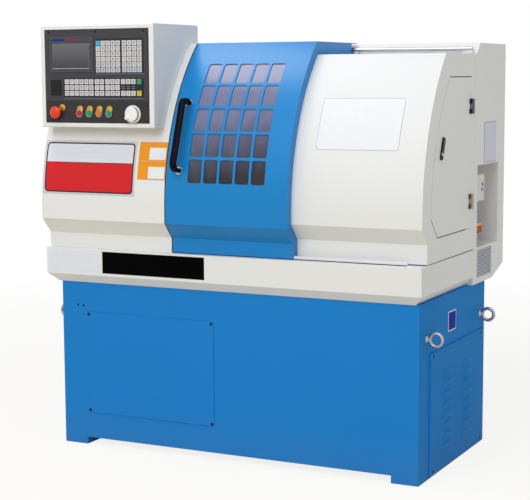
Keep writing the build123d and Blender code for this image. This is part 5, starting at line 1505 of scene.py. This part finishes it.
    def amber_plates(self) -> None:
        """Two stacked amber plates with bare white fields."""
        face = self.curve.place()
        left, right = self.amber_span
        low, high = self.amber_rise
        half = (high - low) / 2
        field_left, field_right = self.amber_field_sides
        field_bottom, field_top = self.amber_field_ends
        for index, base in enumerate((low, low + half)):
            name, top = f"amber_plate_{index + 1}", base + half
            plate = Shop.plate(
                name, self.amber_span, (base, top - self.amber_gap), face, self.amber_thick,
                self.amber_corner,
            )
            Shop.settle(plate, Kit.PLATE_AMBER)
            field = Shop.plate(
                f"{name}_field", (left + field_left, right - field_right),
                (base + field_bottom, top - field_top), face, self.field_thick, self.field_corner,
            )
            Shop.settle(field, Kit.PLATE_CLEAR)

    def tray_plates(self) -> None:
        """Bare black plate and pale plate on the tray's front."""
        face = front_place(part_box("chip_tray")[0].y)
        for name, span, thick, finish in (
            ("tray_plate_black", self.black_span, self.black_thick, Kit.PLATE_BLACK),
            ("tray_plate_pale", self.pale_span, self.pale_thick, Kit.PLATE_PALE),
        ):
            plate = Shop.plate(name, span, self.black_rise, face, thick, self.field_corner)
            Shop.settle(plate, finish)

    def clear_plate(self) -> None:
        """Bare white plate with a thin line on the right cover."""
        face = self.curve.place(self.right_inset)
        Shop.layered("side_plate", self.clear_span, self.clear_rise, face, self.clear_layers)

    def end_labels(self) -> None:
        """Two bare labels on the rear housing's right end, the lower one ruled as a table."""
        right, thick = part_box("rear_housing")[1].x, self.label_thick
        outer, inner = self.label_corners
        for name, (span, rise), finish in (
            ("upper_label", self.upper_label, Kit.LABEL_COOL),
            ("lower_label", self.lower_label, Kit.LABEL_GREY),
        ):
            Shop.layered(name, span, rise, end_place(right), (
                ("edge", 0.0, self.label_edge, outer, Kit.LABEL_INK),
                ("field", self.label_border, thick, inner, finish),
            ))
        span, rise = self.lower_label
        pitch = (rise[1] - rise[0]) / (self.label_rows + 1)
        rows = [
            Vector((right + thick, sum(span) / 2, rise[0] + row * pitch))
            for row in range(1, self.label_rows + 1)
        ]
        size = (self.rule_depth, span[1] - span[0] - self.label_margin, pitch * self.rule_share)
        Forms.BARS.make("lower_label_rules", rows, {"Size": size}, Kit.LABEL_INK)

    def seams(self) -> None:
        """Beads of painted shade in the seams: side door, tray, door track and headstock cover's
        edge.
        """
        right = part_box("right_cover")[1].x - self.bead * self.bead_sunk
        low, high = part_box("side_access_door")
        tray_low, tray_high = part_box("chip_tray")
        head_low, head_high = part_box("headstock_cover")
        seam_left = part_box("right_cover")[0].x + self.tray_seam_start
        out = self.bead + self.bead_clear
        cut_y, cut_z = self.door_cut
        skirt = self.curve.centre - self.curve.radius + self.curve.profile[0][0] + self.right_inset
        level = head_low.z + self.bead
        foot = tray_low.y + self.track_setback - self.track_bead
        foot_level = level - self.bead + self.track_bead
        shade_x, shade_top = head_high.x - self.bead, head_high.z - self.cover_shade_drop
        # Each bead is painted shade standing in its gap.
        for name, radius, path in (
            ("door_gap_top", self.bead, [
                Vector((right, y, high.z + out)) for y in (low.y + self.door_gap_start, high.y)
            ]),
            ("door_gap_bottom", self.bead, [
                Vector((right, low.y - out, low.z + cut_z)),
                Vector((right, low.y + cut_y - out, low.z - out)),
                Vector((right, high.y - self.door_gap_end, low.z - out)),
            ]),
            ("tray_seam", self.bead, [
                Vector((seam_left, skirt, level)), Vector((right, skirt, level)),
                Vector((right, tray_high.y, level)),
            ]),
            ("track_foot_shade", self.track_bead, [
                Vector((x, foot, foot_level))
                for x in (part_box("sliding_door")[0].x, tray_high.x - self.track_end)
            ]),
            ("cover_seam_shade", self.bead, self.curve.edge_path(shade_x, shade_top)),
        ):
            Forms.BEADS.make(name, path, {"Radius": radius}, Kit.GAP_SHADE)

    def hinges(self) -> None:
        """Sleeves and leaves on the side door's hinges, and the pale band on the latch."""
        outside, (x, y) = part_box("right_cover")[1].x, self.side_hinge
        finishes = (Kit.BRASS, Kit.HINGE_STEEL)
        for index, (z, finish) in enumerate(zip(self.side_hinge_heights, finishes)):
            Shop.turned(
                f"side_door_sleeve_{index + 1}", self.sleeve_profile, Vector((x, y, z)),
                Facing.TOP.normal, finish, "side_door", self.sleeve_sides,
            )
            for name, gap, (reach, height), thick in (
                ("leaf", self.leaf_gap, self.leaf_half, self.leaf_thick),
                ("knuckle", self.knuckle_gap, self.knuckle_half, self.knuckle_thick),
            ):
                leaf = Shop.brick(
                    f"side_door_{name}_{index + 1}", Vector((outside + thick, y - gap, z)),
                    Vector((0, reach, 0)), Vector((0, 0, height)), Vector((thick, 0, 0)),
                )
                Shop.settle(leaf, finish, "side_door")
        lean = Matrix.Rotation(-math.radians(self.latch_lean), 3, "X")
        latch_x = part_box("side_door_latch")[1].x
        along, across, out = self.band_half
        band = Shop.brick(
            "latch_band", Vector((latch_x, *self.latch_pivot)), lean @ Vector((0, 0, along)),
            lean @ Vector((0, across, 0)), Vector((out, 0, 0)),
        )
        Shop.settle(band, Kit.IVORY, "side_latch")

    def lubricator(self) -> None:
        """Pump head with its lamps and filler cap, see-through tank, red bowl and yellow ring."""
        Shop.soften("lubricator_pump", Kit.IVORY, self.pump_edge)
        Shop.soften("lubricator_tank", Kit.TANK, self.tank_edge)
        low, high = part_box("lubricator_pump")
        for name, finish, y, z in self.pump_lamps:
            spot = Vector((high.x, low.y + (high.y - low.y) * y, low.z + (high.z - low.z) * z))
            Shop.turned(name, self.lamp_profile, spot, Facing.RIGHT.normal, finish)
        filler = Vector(((low.x + high.x) / 2, low.y + self.filler_inset, high.z))
        Shop.turned("pump_filler_cap", self.filler_profile, filler, Facing.TOP.normal, Kit.BLACK)
        low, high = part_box("lubricator_tank")
        left, right = low.x - self.collar_proud, high.x + self.collar_proud
        front, back = low.y - self.collar_proud, high.y + self.collar_proud
        corners = ((left, front), (right, front), (right, back), (left, back))
        for name, finish, base, top in self.collars:
            collar = Shop.loft(name, [
                [Vector((x, y, low.z + rise)) for x, y in corners] for rise in (base, top)
            ])
            Shop.bevelled(collar, self.collar_edge, self.collar_segments)
            Shop.settle(collar, finish)

    def back_details(self) -> None:
        """Fan guard over a disc of painted shade in its opening, and door lock on the back."""
        low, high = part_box("rear_cabinet_door")
        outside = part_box("rear_housing")[1].y
        centre = Vector((high.x - self.fan_inset, outside, low.z + self.fan_inset))
        # Dark disc behind the guard: painted shade in the fan opening.
        Shop.turned(
            "fan_opening", self.fan_profile, centre, Facing.BACK.normal, Kit.GAP_SHADE, "rear_door",
            self.fan_sides,
        )
        sizes = {"Radius": self.guard_radius, "Wire": self.guard_wire, "Count": self.guard_rings,
                 "Turn": Facing.BACK.value}
        middle = centre + Vector((0, self.guard_lift, 0))
        Forms.RINGS.make("fan_guard", [middle], sizes, Kit.ZINC, "rear_door")
        keyhole = Vector((high.x - self.lock_inset, centre.y, (low.z + high.z) / 2))
        Shop.turned(
            "rear_door_lock", self.lock_profile, keyhole, Facing.BACK.normal, Kit.ZINC, "rear_door"
        )


@dataclass
class Door:
    """Blue sliding door with its pane, handle, hangers and rail."""

    sheet_edge: float = 0.9 * MM
    hanger_edge: float = 0.6 * MM
    rail_edge: float = 0.4 * MM
    handle_x: float = -169 * MM
    handle_feet: Pair = (1234 * MM, 1008 * MM)
    washer_profile: Profile = ((0, 13.5), (1, 13.5), (1.4, 13))

    def build(self) -> None:
        """Builds and dresses the door."""
        Shop.soften("sliding_door", Kit.DOOR_BLUE, self.sheet_edge, True)
        Shop.soften("door_window", Kit.SMOKE, 0.0, True)
        Shop.soften("door_handle", Kit.BLACK, 0.0)
        Shop.soften("door_hangers", Kit.ALUMINIUM, self.hanger_edge)
        Shop.soften("door_rail", Kit.ZINC, self.rail_edge)
        face = CoverCurve().place()
        for index, z in enumerate(self.handle_feet):
            point, outward = face(self.handle_x, z)
            name = f"handle_washer_{index + 1}"
            Shop.turned(name, self.washer_profile, point, outward, Kit.ZINC, "door")


@dataclass
class Pendant:
    """Control pendant: box, fascia, screen, keypads, buttons and handwheel."""

    box_edge: float = 0.9 * MM
    fascia_edge: float = 0.3 * MM
    port_proud: float = 3 * MM
    panel_round: float = 0.4
    controller_bottom: float = 76 * MM
    controller_inset: float = 3 * MM
    controller_thick: float = 0.9 * MM
    controller_corner: float = 3 * MM
    edge_drop: float = 1.4 * MM
    edge_size: float = 1 * MM
    line_inset: float = 2 * MM
    line_size: float = 1.2 * MM
    line_drops: Pair = (2.2 * MM, 2.6 * MM)
    port_caps: tuple[tuple[str, Pair, Pair, float, float], ...] = (
        ("port_cap", (24 * MM, 95 * MM), (43 * MM, 53 * MM), 3.8 * MM, 4 * MM),
        ("port_lid", (25 * MM, 136 * MM), (41 * MM, 10 * MM), 4.6 * MM, 2 * MM),
    )
    reveal_slope: float = 1.2 * MM
    reveal_rim: float = 0.1 * MM
    header_lift: float = 7.5 * MM
    header_height: float = 6 * MM
    header_thick: float = 0.3 * MM
    header_corner: float = 0.5 * MM
    headers: tuple[tuple[str, Pair, Finish], ...] = (
        ("header_blue", (0.0, 56 * MM), Kit.PLATE_BLUE),
        ("header_red", (57 * MM, 104 * MM), Kit.PLATE_PLUM),
    )
    lamp_profile: Profile = ((0, 3.4), (1.5, 3.4), (3, 2.4), (3.6, 0.8))
    lamp_inset: float = 6 * MM
    lamp_sides: int = 24
    sheet: float = 1 * MM
    sheet_corner: float = 5 * MM
    key_height: float = 1.4 * MM
    key_sunk: float = 0.25
    key_top: float = 0.9
    legend_lift: Pair = (0.76, 0.14)
    legend_share: Pair = (0.5, 0.16)
    legend_thick: float = 0.1 * MM
    upper_key: Pair = (17.6 * MM, 16.6 * MM)
    upper_pitch: Pair = (20.1 * MM, 18.2 * MM)
    upper_start: Pair = (210 * MM, 170 * MM)
    upper_size: Pair = (195 * MM, 119 * MM)
    upper_blocks: tuple[tuple[float, int], ...] = ((3 * MM, 5), (108.8 * MM, 4))
    upper_rows: int = 6
    upper_base: float = 3.5 * MM
    lower_key: Pair = (17.4 * MM, 17 * MM)
    lower_pitch: Pair = (20.2 * MM, 19.9 * MM)
    lower_start: Pair = (77 * MM, 87 * MM)
    lower_size: Pair = (328 * MM, 67 * MM)
    lower_groups: tuple[int, ...] = (6, 2, 3, 3, 1)
    lower_rows: int = 3
    lower_first: float = 5.6 * MM
    lower_gap: float = 2.8 * MM
    lower_base: float = 6.5 * MM
    open_group: int = 3
    dash_size: Triple = (12 * MM, 0.3 * MM, 1.8 * MM)
    dash_rise: float = 3 * MM
    bezel_edge: float = 0.6 * MM
    button_edge: float = 0.3 * MM
    buttons: tuple[tuple[str, Finish], ...] = (
        ("red_button", Kit.RED), ("green_button", Kit.GREEN), ("orange_button", Kit.ORANGE),
        ("green_button_right", Kit.GREEN),
    )
    tag_profile: Profile = ((0, 12), (0.5, 12), (0.7, 11.6))
    tag_offset: Pair = (1.5 * MM, 4 * MM)
    stop_tag_inset: Pair = (1 * MM, 5 * MM)
    stop_profile: Profile = (
        (0, 11), (25.4, 11), (25.4, 20.3), (25.6, 20.8), (26.2, 21), (30.6, 21), (31.4, 20.7),
        (32.2, 19.5), (33.4, 17.5), (34.6, 15.5), (35.8, 13.4), (36.7, 11.6), (37.2, 10),
        (37.4, 8.4),
    )
    stop_sides: int = 64
    dial_edge: float = 0.8 * MM
    grip_profile: Profile = ((6.4, 25.2), (13.0, 25.2), (13.6, 24.6))
    grip_sides: int = 60
    screw_radius: float = 3.6 * MM
    screw_height: float = 1.4 * MM
    screw_edge: float = 8 * MM
    top_screw_inset: float = 19 * MM
    low_screw_inset: float = 28 * MM
    side_screw_rise: float = 60 * MM

    def build(self) -> None:
        """Builds and dresses the pendant."""
        Shop.soften("pendant_box", Kit.WHITE, self.box_edge)
        Shop.soften("control_fascia", Kit.FASCIA, self.fascia_edge)
        Shop.soften("screen_bezel", Kit.BEZEL, 0.0)
        Shop.coat("screen_glass", Kit.DISPLAY)
        low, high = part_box("control_fascia")
        self.left, self.bottom, self.front = low.x, low.z, low.y + self.port_proud
        self.width, self.height = high.x - low.x, high.z - low.z
        self.controller()
        self.screen()
        self.upper_keys()
        self.lower_keys()
        self.controls()
        self.fasteners()

    def at(self, x: float, z: float, out: float = 0.0) -> Vector:
        """Point on the fascia from its lower left corner, moved out towards the operator."""
        return Vector((self.left + x, self.front - out, self.bottom + z))

    def key_at(self, x: float, z: float, size: Pair) -> Vector:
        """Middle of a key on a membrane, from the key's lower left corner."""
        out = self.sheet + self.key_height * self.key_sunk
        return self.at(x + size[0] / 2, z + size[1] / 2, out)

    def panel(
        self, name: str, start: Pair, size: Pair, thick: float, corner: float, finish: Finish
    ) -> Piece:
        """Plate on the fascia with rounded edges.

        Args:
            name: The piece's name.
            start: Its lower left corner, from the fascia's.
            size: Its width and height.
            thick: Thickness in metres.
            corner: Radius of the corners.
            finish: Its finish.

        Returns:
            The plate.
        """
        foot = self.at(*start)
        span, rise = (foot.x, foot.x + size[0]), (foot.z, foot.z + size[1])
        plate = Shop.plate(name, span, rise, front_place(self.front), thick, corner)
        Shop.bevelled(plate, thick * self.panel_round)
        return Shop.settle(plate, finish)

    def controller(self) -> None:
        """Controller plate on the fascia's upper part, painted highlight lines, rubber port cap.
        """
        inset, base = self.controller_inset, self.controller_bottom
        width, height = self.width - 2 * inset, self.height - base - inset
        self.panel(
            "controller_plate", (inset, base), (width, height), self.controller_thick,
            self.controller_corner, Kit.CONTROLLER,
        )
        for name, start, size, thick, corner in self.port_caps:
            self.panel(name, start, size, thick, corner, Kit.RUBBER)
        # Pale lines under the two keypads are painted highlights.
        for name, (x, z), length, drop in (
            ("upper_edge_highlight", self.upper_start, self.upper_size[0], self.line_drops[0]),
            ("lower_edge_highlight", self.lower_start, self.lower_size[0], self.line_drops[1]),
        ):
            start, line = (x + self.line_inset, z - drop), self.line_size
            size = (length - 2 * self.line_inset, line)
            self.panel(name, start, size, line, 0.0, Kit.HIGHLIGHT_AND_DASH)
        start, line = (inset, base - self.edge_drop), self.edge_size
        self.panel("controller_edge", start, (width, line), line, 0.0, Kit.BEZEL)

    def screen(self) -> None:
        """Sloped reveal round the glass, plain header strips and a lamp."""
        low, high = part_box("screen_glass")
        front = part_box("screen_bezel")[0].y
        self.reveal(low, high, front)
        strip = (high.z + self.header_lift, high.z + self.header_lift + self.header_height)
        for name, (left, right), finish in self.headers:
            header = Shop.plate(
                name, (low.x + left, low.x + right), strip, front_place(front),
                self.header_thick, self.header_corner,
            )
            Shop.settle(header, finish)
        spot = Vector((high.x + self.lamp_inset, front, high.z - self.lamp_inset))
        Shop.turned(
            "screen_lamp", self.lamp_profile, spot, Facing.FRONT.normal, Kit.LAMP_RED,
            sides=self.lamp_sides,
        )

    def reveal(self, low: Vector, high: Vector, front: float) -> None:
        """Sloped frame round the glass, with a painted highlight below and on the right.

        Args:
            low: The glass's lower corner.
            high: The glass's upper corner.
            front: Place of the bezel's front.
        """
        slope, rim = self.reveal_slope, self.reveal_rim

        def ring(y: float, inset: float) -> list[bmesh.types.BMVert]:
            """Four corners at a depth, set in from the glass's edge."""
            xs, zs = (low.x + inset, high.x - inset), (low.z + inset, high.z - inset)
            return [form.verts.new((xs[i], y, zs[j])) for i, j in ((0, 0), (1, 0), (1, 1), (0, 1))]

        form = bmesh.new()
        near, far, back = ring(front + rim, -rim), ring(low.y - rim, slope), ring(low.y, -rim)
        for index in range(4):
            after = (index + 1) % 4
            for first, second in ((near, far), (far, back), (back, near)):
                corners = (first[index], first[after], second[after], second[index])
                # Lower and right sides take the painted highlight, the others the bezel's colour.
                form.faces.new(corners).material_index = 0 if index < 2 else 1
        piece = Shop.from_bmesh("screen_reveal", form)
        for finish in (Kit.REVEAL_HIGHLIGHT, Kit.BEZEL):
            piece.data.materials.append(finish.material())
        Shop.settle(piece, None, slot="panel_dark")

    def membrane(self, name: str, node: str, start: Pair, size: Pair) -> None:
        """Keypad's dark sheet, which stands for its node.

        Args:
            name: The piece's name.
            node: The CAD node's name.
            start: Its lower left corner, from the fascia's.
            size: Its width and height.
        """
        sheet = self.panel(name, start, size, self.sheet, self.sheet_corner, Kit.MEMBRANE)
        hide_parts(node)

    def keys(self, name: str, points: list[Vector], size: Pair, finish: Finish) -> None:
        """Keys on points of the fascia, in one finish.

        Args:
            name: The piece's name.
            points: The keys' middles.
            size: A key's width and height.
            finish: Their finish.
        """
        sizes = {"Width": size[0], "Depth": size[1], "Height": self.key_height,
                 "Top share": self.key_top, "Turn": Facing.FRONT.value}
        Forms.KEYS.make(name, points, sizes, finish, slot="key_white")

    def legends(self, name: str, points: list[Vector], size: Pair) -> None:
        """Printed legends on the keys' tops.

        Args:
            name: The piece's name.
            points: The keys' middles.
            size: A key's width and height.
        """
        out, up = self.legend_lift
        wide, high = self.legend_share
        lift = Vector((0, -self.key_height * out, size[1] * up))
        sizes = {"Width": size[0] * wide, "Height": size[1] * high,
                 "Thickness": self.legend_thick, "Turn": Facing.FRONT.value}
        spots = [point + lift for point in points]
        Forms.LEGENDS.make(name, spots, sizes, Kit.LEGEND)

    def upper_keys(self) -> None:
        """Upper keypad: membrane, letter block and number block."""
        self.membrane("upper_membrane", "upper_keypad", self.upper_start, self.upper_size)
        plain: list[Vector] = []
        cool: list[Vector] = []
        first: list[Vector] = []
        (left, base), (across, upright) = self.upper_start, self.upper_pitch
        for inset, columns in self.upper_blocks:
            for column in range(columns):
                for row in range(self.upper_rows):
                    x, z = left + inset + column * across, base + self.upper_base + row * upright
                    point = self.key_at(x, z, self.upper_key)
                    at_corner = column == 0 and inset == self.upper_blocks[0][0]
                    if at_corner and row == self.upper_rows - 1:
                        first.append(point)
                    else:
                        (cool if row == 0 else plain).append(point)
        self.keys("upper_keys", plain, self.upper_key, Kit.KEY)
        self.keys("upper_keys_cool", cool, self.upper_key, Kit.KEY_COOL)
        self.keys("upper_key_cyan", first, self.upper_key, Kit.KEY_CYAN)
        self.legends("upper_legends", plain + cool, self.upper_key)

    def lower_keys(self) -> None:
        """Lower keypad: membrane and five groups of keys."""
        self.membrane("lower_membrane", "lower_keypad", self.lower_start, self.lower_size)
        plain: list[Vector] = []
        start: list[Vector] = []
        hold: list[Vector] = []
        (across, upright), base = self.lower_pitch, self.lower_start[1] + self.lower_base
        x = self.lower_start[0] + self.lower_first
        for group, columns in enumerate(self.lower_groups):
            last = group == len(self.lower_groups) - 1
            for column in range(columns):
                for row in range(self.lower_rows):
                    if group >= self.open_group and row == 1:
                        continue
                    point = self.key_at(x + column * across, base + row * upright, self.lower_key)
                    (plain if not last else hold if row == 0 else start).append(point)
            x += columns * across + self.lower_gap
        self.keys("lower_keys", plain, self.lower_key, Kit.KEY)
        self.keys("lower_key_green", start, self.lower_key, Kit.KEY_GREEN)
        self.keys("lower_key_yellow", hold, self.lower_key, Kit.KEY_YELLOW)
        self.legends("lower_legends", plain + start + hold, self.lower_key)
        self.dashes()

    def dashes(self) -> None:
        """Printed dashes in the lower keypad's open row."""
        (across, upright), (width, height) = self.lower_pitch, self.lower_key
        before = sum(self.lower_groups[:self.open_group])
        first = before * across + self.open_group * self.lower_gap
        x = self.lower_start[0] + self.lower_first + first + width / 2
        z = self.lower_start[1] + self.lower_base + upright + height / 2
        points = [
            self.at(x + column * across, z + rise, self.sheet)
            for column in range(self.lower_groups[self.open_group])
            for rise in (-self.dash_rise, self.dash_rise)
        ]
        sizes = {"Size": self.dash_size}
        Forms.BARS.make("lower_dashes", points, sizes, Kit.HIGHLIGHT_AND_DASH)

    def controls(self) -> None:
        """Buttons, bezels, handwheel and the gold tags above the buttons."""
        Shop.soften("button_bezels", Kit.NICKEL, self.bezel_edge)
        right, up = self.tag_offset
        for node, finish in self.buttons:
            Shop.soften(node, finish, self.button_edge)
            low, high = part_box(node)
            self.tag(f"{node}_tag", (low.x + high.x) / 2 + right, high.z + up)
        low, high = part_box("stop_button")
        foot = Vector(((low.x + high.x) / 2, high.y, (low.z + high.z) / 2))
        stop = Shop.turned(
            "stop_button_cap", self.stop_profile, foot, Facing.FRONT.normal, Kit.STOP,
            "stop_button", self.stop_sides, SLOT_OF["stop_button"],
        )
        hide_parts("stop_button")
        left, down = self.stop_tag_inset
        self.tag("stop_button_tag", high.x - left, high.z - down)
        Shop.soften("pulse_handwheel", Kit.DIAL, self.dial_edge)
        low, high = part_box("pulse_handwheel")
        hub = Vector(((low.x + high.x) / 2, self.front, (low.z + high.z) / 2))
        # Dark ring on the drum wall, partly painted shade.
        Shop.turned(
            "handwheel_grip", self.grip_profile, hub, Facing.FRONT.normal, Kit.GRIP_DARK_AND_SHADE, "dial",
            self.grip_sides,
        )

    def tag(self, name: str, x: float, z: float) -> None:
        """Round gold tag on the fascia, partly behind a button's bezel."""
        centre = Vector((x, self.front, z))
        Shop.turned(name, self.tag_profile, centre, Facing.FRONT.normal, Kit.GOLD)

    def fasteners(self) -> None:
        """Dark screws round the fascia's edge."""
        edge = self.screw_edge
        right, top = self.width - edge, self.height - edge
        points = [
            self.at(x, top, self.controller_thick)
            for x in (self.top_screw_inset, self.width / 2, self.width - self.top_screw_inset)
        ]
        points += [
            self.at(self.low_screw_inset, edge), self.at(right, self.side_screw_rise),
            self.at(right, edge),
        ]
        Forms.screws("fascia_screws", points, self.screw_radius, self.screw_height, Facing.FRONT)


@dataclass
class Works:
    """Bed, headstock, chuck, slides, turret, tailstock and what the stand and housing shut in."""

    dressing: tuple[tuple[Finish, float, tuple[str, ...]], ...] = (
        (Kit.IRON, 1.0 * MM, (
            "bed_casting", "headstock_casting", "carriage_saddle", "cross_slide", "tailstock_body",
        )),
        (Kit.TURNED, 0.0, (
            "spindle", "chuck_body", "spindle_bearings", "tailstock_quill", "feed_ball_screw",
            "cross_ball_screw", "tailstock_handwheel",
        )),
        (Kit.GROUND, 0.5 * MM, (
            "chuck_jaw_1", "chuck_jaw_2", "chuck_jaw_3", "tool_turret", "turning_tools",
        )),
        (Kit.ALUMINIUM, 0.0, ("spindle_pulley", "motor_pulley", "feed_bearing_blocks")),
        (Kit.MOTOR, 0.0, (
            "spindle_motor", "feed_servo_motor", "cross_servo_motor", "electrical_drives",
            "coolant_tank", "coolant_pump",
        )),
        (Kit.BELT, 0.0, ("drive_belt",)),
    )
    ridge: float = 0.9 * MM
    ridge_lift: float = 0.18 * MM
    thread_pitch: float = 10 * MM
    screw_radius: float = 6 * MM
    chuck_screw_height: float = 2 * MM
    chuck_screw_ring: float = 0.36
    chuck_screw_angles: tuple[float, ...] = (30.0, 150.0, 270.0)
    turret_screw_height: float = 8 * MM
    turret_screw_inset: float = 11 * MM
    turret_screw_drop: float = 14 * MM
    turret_screw_places: Pair = (-22 * MM, 14 * MM)
    wiper: Triple = (2.4 * MM, 60 * MM, 14 * MM)
    wiper_lift: float = 2 * MM
    wiper_inset: float = 52 * MM

    def build(self) -> None:
        """Builds and dresses the works."""
        for finish, edge, nodes in self.dressing:
            for node in nodes:
                Shop.soften(node, finish, edge)
        Shop.coat("electrical_backplate", Kit.ZINC)
        self.threads()
        self.chuck_screws()
        self.turret_screws()
        self.wipers()

    def threads(self) -> None:
        """Threads of the feed screw and the cross screw."""
        for node, body, facing, axis in (
            ("feed_ball_screw", "feed_screw", Facing.RIGHT, 0),
            ("cross_ball_screw", "cross_screw", Facing.BACK, 1),
        ):
            low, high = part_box(node)
            start = (low + high) / 2
            start[axis] = low[axis] + self.thread_pitch
            length = high[axis] - low[axis] - 2 * self.thread_pitch
            radius = (high.z - low.z) / 2 - self.ridge + self.ridge_lift
            sizes = {"Radius": radius, "Length": length, "Ridge": self.ridge,
                     "Turns": length / self.thread_pitch, "Turn": facing.value}
            Forms.THREADS.make(
                f"{node}_thread", [start], sizes, Kit.TURNED, body, SLOT_OF[node]
            )

    def chuck_screws(self) -> None:
        """Screws on the chuck's face between the jaws."""
        low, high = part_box("chuck_body")
        middle = (low + high) / 2
        ring = (high.z - low.z) * self.chuck_screw_ring
        points = [
            Vector((high.x, middle.y + ring * math.cos(angle), middle.z + ring * math.sin(angle)))
            for angle in map(math.radians, self.chuck_screw_angles)
        ]
        Forms.screws(
            "chuck_screws", points, self.screw_radius, self.chuck_screw_height, Facing.RIGHT,
            "spindle",
        )

    def turret_screws(self) -> None:
        """Clamp screws on the turret's top, two along each side."""
        low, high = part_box("tool_turret")
        middle = (low + high) / 2
        reach = (high.x - low.x) / 2 - self.turret_screw_inset
        hub = Vector((middle.x, middle.y, high.z - self.turret_screw_drop))
        turns = [Matrix.Rotation(side * math.pi / 2, 3, "Z") for side in range(4)]
        points = [
            hub + turn @ Vector((reach, along, 0))
            for turn in turns for along in self.turret_screw_places
        ]
        Forms.screws(
            "turret_screws", points, self.screw_radius, self.turret_screw_height, Facing.TOP,
            "turret",
        )

    def wipers(self) -> None:
        """Rubber way wipers at the saddle's two ends."""
        low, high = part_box("carriage_saddle")
        thick, _, tall = self.wiper
        y = high.y - self.wiper_inset
        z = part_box("bed_casting")[1].z + self.wiper_lift + tall / 2
        points = [Vector((x, y, z)) for x in (low.x - thick / 2, high.x + thick / 2)]
        Forms.BARS.make("way_wipers", points, {"Size": self.wiper}, Kit.RUBBER, "carriage")


@dataclass(frozen=True)
class Lamp:
    """A soft rectangular lamp: its name, place, size, power, colour and target."""

    name: str
    place: Triple
    size: Pair
    power: float
    colour: Colour
    target: Triple

    def build(self) -> None:
        """Hangs the lamp so that it looks at its target."""
        light = bpy.data.lights.new(self.name, "AREA")
        light.shape, light.energy, light.color = "RECTANGLE", self.power, self.colour
        light.size, light.size_y = self.size
        lamp = Shop.add(self.name, light)
        lamp.location = self.place
        ahead = Vector(self.target) - Vector(self.place)
        lamp.rotation_euler = ahead.to_track_quat("-Z", "Y").to_euler()


@dataclass
class Studio:
    """Pale floor, soft light and the camera at the photograph's viewing angle."""

    eye: Triple = (2.2391, -4.5578, 1.3259)
    yaw: float = 26.5
    pitch: float = 7.0
    roll: float = -0.3
    lens: float = 96.3
    sensor: float = 36.0
    floor_size: float = 60.0
    floor_drop: float = 0.5 * MM
    floor_colour: Colour = chip(242, 231, 206)
    floor_grain: float = 3.0
    floor_near: float = 1.7
    floor_far: float = 4.5
    shadow_share: float = 0.16
    sky: float = 0.4
    sky_colour: Colour = (0.92, 0.96, 1.0)
    lamps: tuple[Lamp, ...] = (
        Lamp("key_light", (0.2, -5.6, 4.8), (4.5, 4.5), 238.0, (0.97, 0.985, 1.0), (0, 0, 0.8)),
        Lamp("fill_light", (4.9, -0.8, 2.6), (3.0, 3.0), 35.0, (0.82, 0.9, 1.0), (0, 0, 0.8)),
        Lamp("top_light", (-1.35, -0.7, 4.0), (1.5, 0.9), 33.0, (0.97, 0.985, 1.0),
             (0, -0.2, 1.3)),
    )

    def build(self) -> None:
        """Builds the studio."""
        bpy.context.scene.view_settings.view_transform = "Standard"
        self.world()
        self.floor()
        for lamp in self.lamps:
            lamp.build()
        self.camera()

    def world(self) -> None:
        """Soft room light that the camera, metal and glass see as white."""
        world = bpy.data.worlds.new("room")
        bpy.context.scene.world = world
        world.use_nodes = True
        graph = Graph(world.node_tree)
        room, white = (
            graph.node("ShaderNodeBackground", {}, {"Color": (*colour, 1), "Strength": strength})
            for colour, strength in ((self.sky_colour, self.sky), ((1, 1, 1), 1.0))
        )
        mix = {0: graph.open_rays(), 1: room, 2: white}
        graph.end("ShaderNodeOutputWorld", graph.node("ShaderNodeMixShader", {}, mix))

    def floor(self) -> None:
        """Pale floor that the camera sees nearly white and that keeps the shadow."""
        form = bmesh.new()
        bmesh.ops.create_grid(form, x_segments=2, y_segments=2, size=self.floor_size / 2)
        floor = Shop.from_bmesh("floor", form)
        floor.location.z = -self.floor_drop
        graph = MaterialGraph("floor_pale")
        where = graph.place()
        rough = graph.noise(where, self.floor_grain)
        paint = {"Color": (*self.floor_colour, 1), "Roughness": rough}
        diffuse = graph.node("ShaderNodeBsdfDiffuse", {}, paint)
        white = {"Color": (1, 1, 1, 1), "Strength": 1.0}
        glow = graph.node("ShaderNodeEmission", {}, white)
        reach = graph.node("ShaderNodeVectorMath", {"operation": "LENGTH"}, {0: where}, "Value")
        span = self.floor_far - self.floor_near
        away = ((reach - self.floor_near) * (1 / span)).limited()
        share = graph.open_rays() * (1.0 - self.shadow_share + away * self.shadow_share)
        mix = {0: share, 1: diffuse, 2: glow}
        graph.end("ShaderNodeOutputMaterial", graph.node("ShaderNodeMixShader", {}, mix))
        floor.data.materials.append(graph.material)

    def camera(self) -> None:
        """Camera that was fitted to the machine's edges."""
        yaw, pitch, roll = (math.radians(value) for value in (self.yaw, self.pitch, self.roll))
        level = Vector((math.cos(yaw), math.sin(yaw), 0))
        ahead = Vector((
            -math.sin(yaw) * math.cos(pitch), math.cos(yaw) * math.cos(pitch), -math.sin(pitch)
        ))
        upright = level.cross(ahead)
        right = math.cos(roll) * level + math.sin(roll) * upright
        up = math.cos(roll) * upright - math.sin(roll) * level
        data = bpy.data.cameras.new("camera")
        data.sensor_width, data.lens = self.sensor, self.lens
        camera = Shop.add("camera", data)
        turn = Matrix((right, up, -ahead)).transposed()
        camera.matrix_world = Matrix.Translation(self.eye) @ turn.to_4x4()
        bpy.context.scene.camera = camera


def main() -> None:
    """Builds the machine's looks in order."""
    logging.basicConfig(level=logging.INFO, format="%(name)s: %(message)s")
    Studio().build()
    for assembly in (Stand(), Covers(), Door(), Pendant(), Works()):
        LOG.info("building %s", type(assembly).__name__)
        assembly.build()


if __name__ == "__main__":
    main()
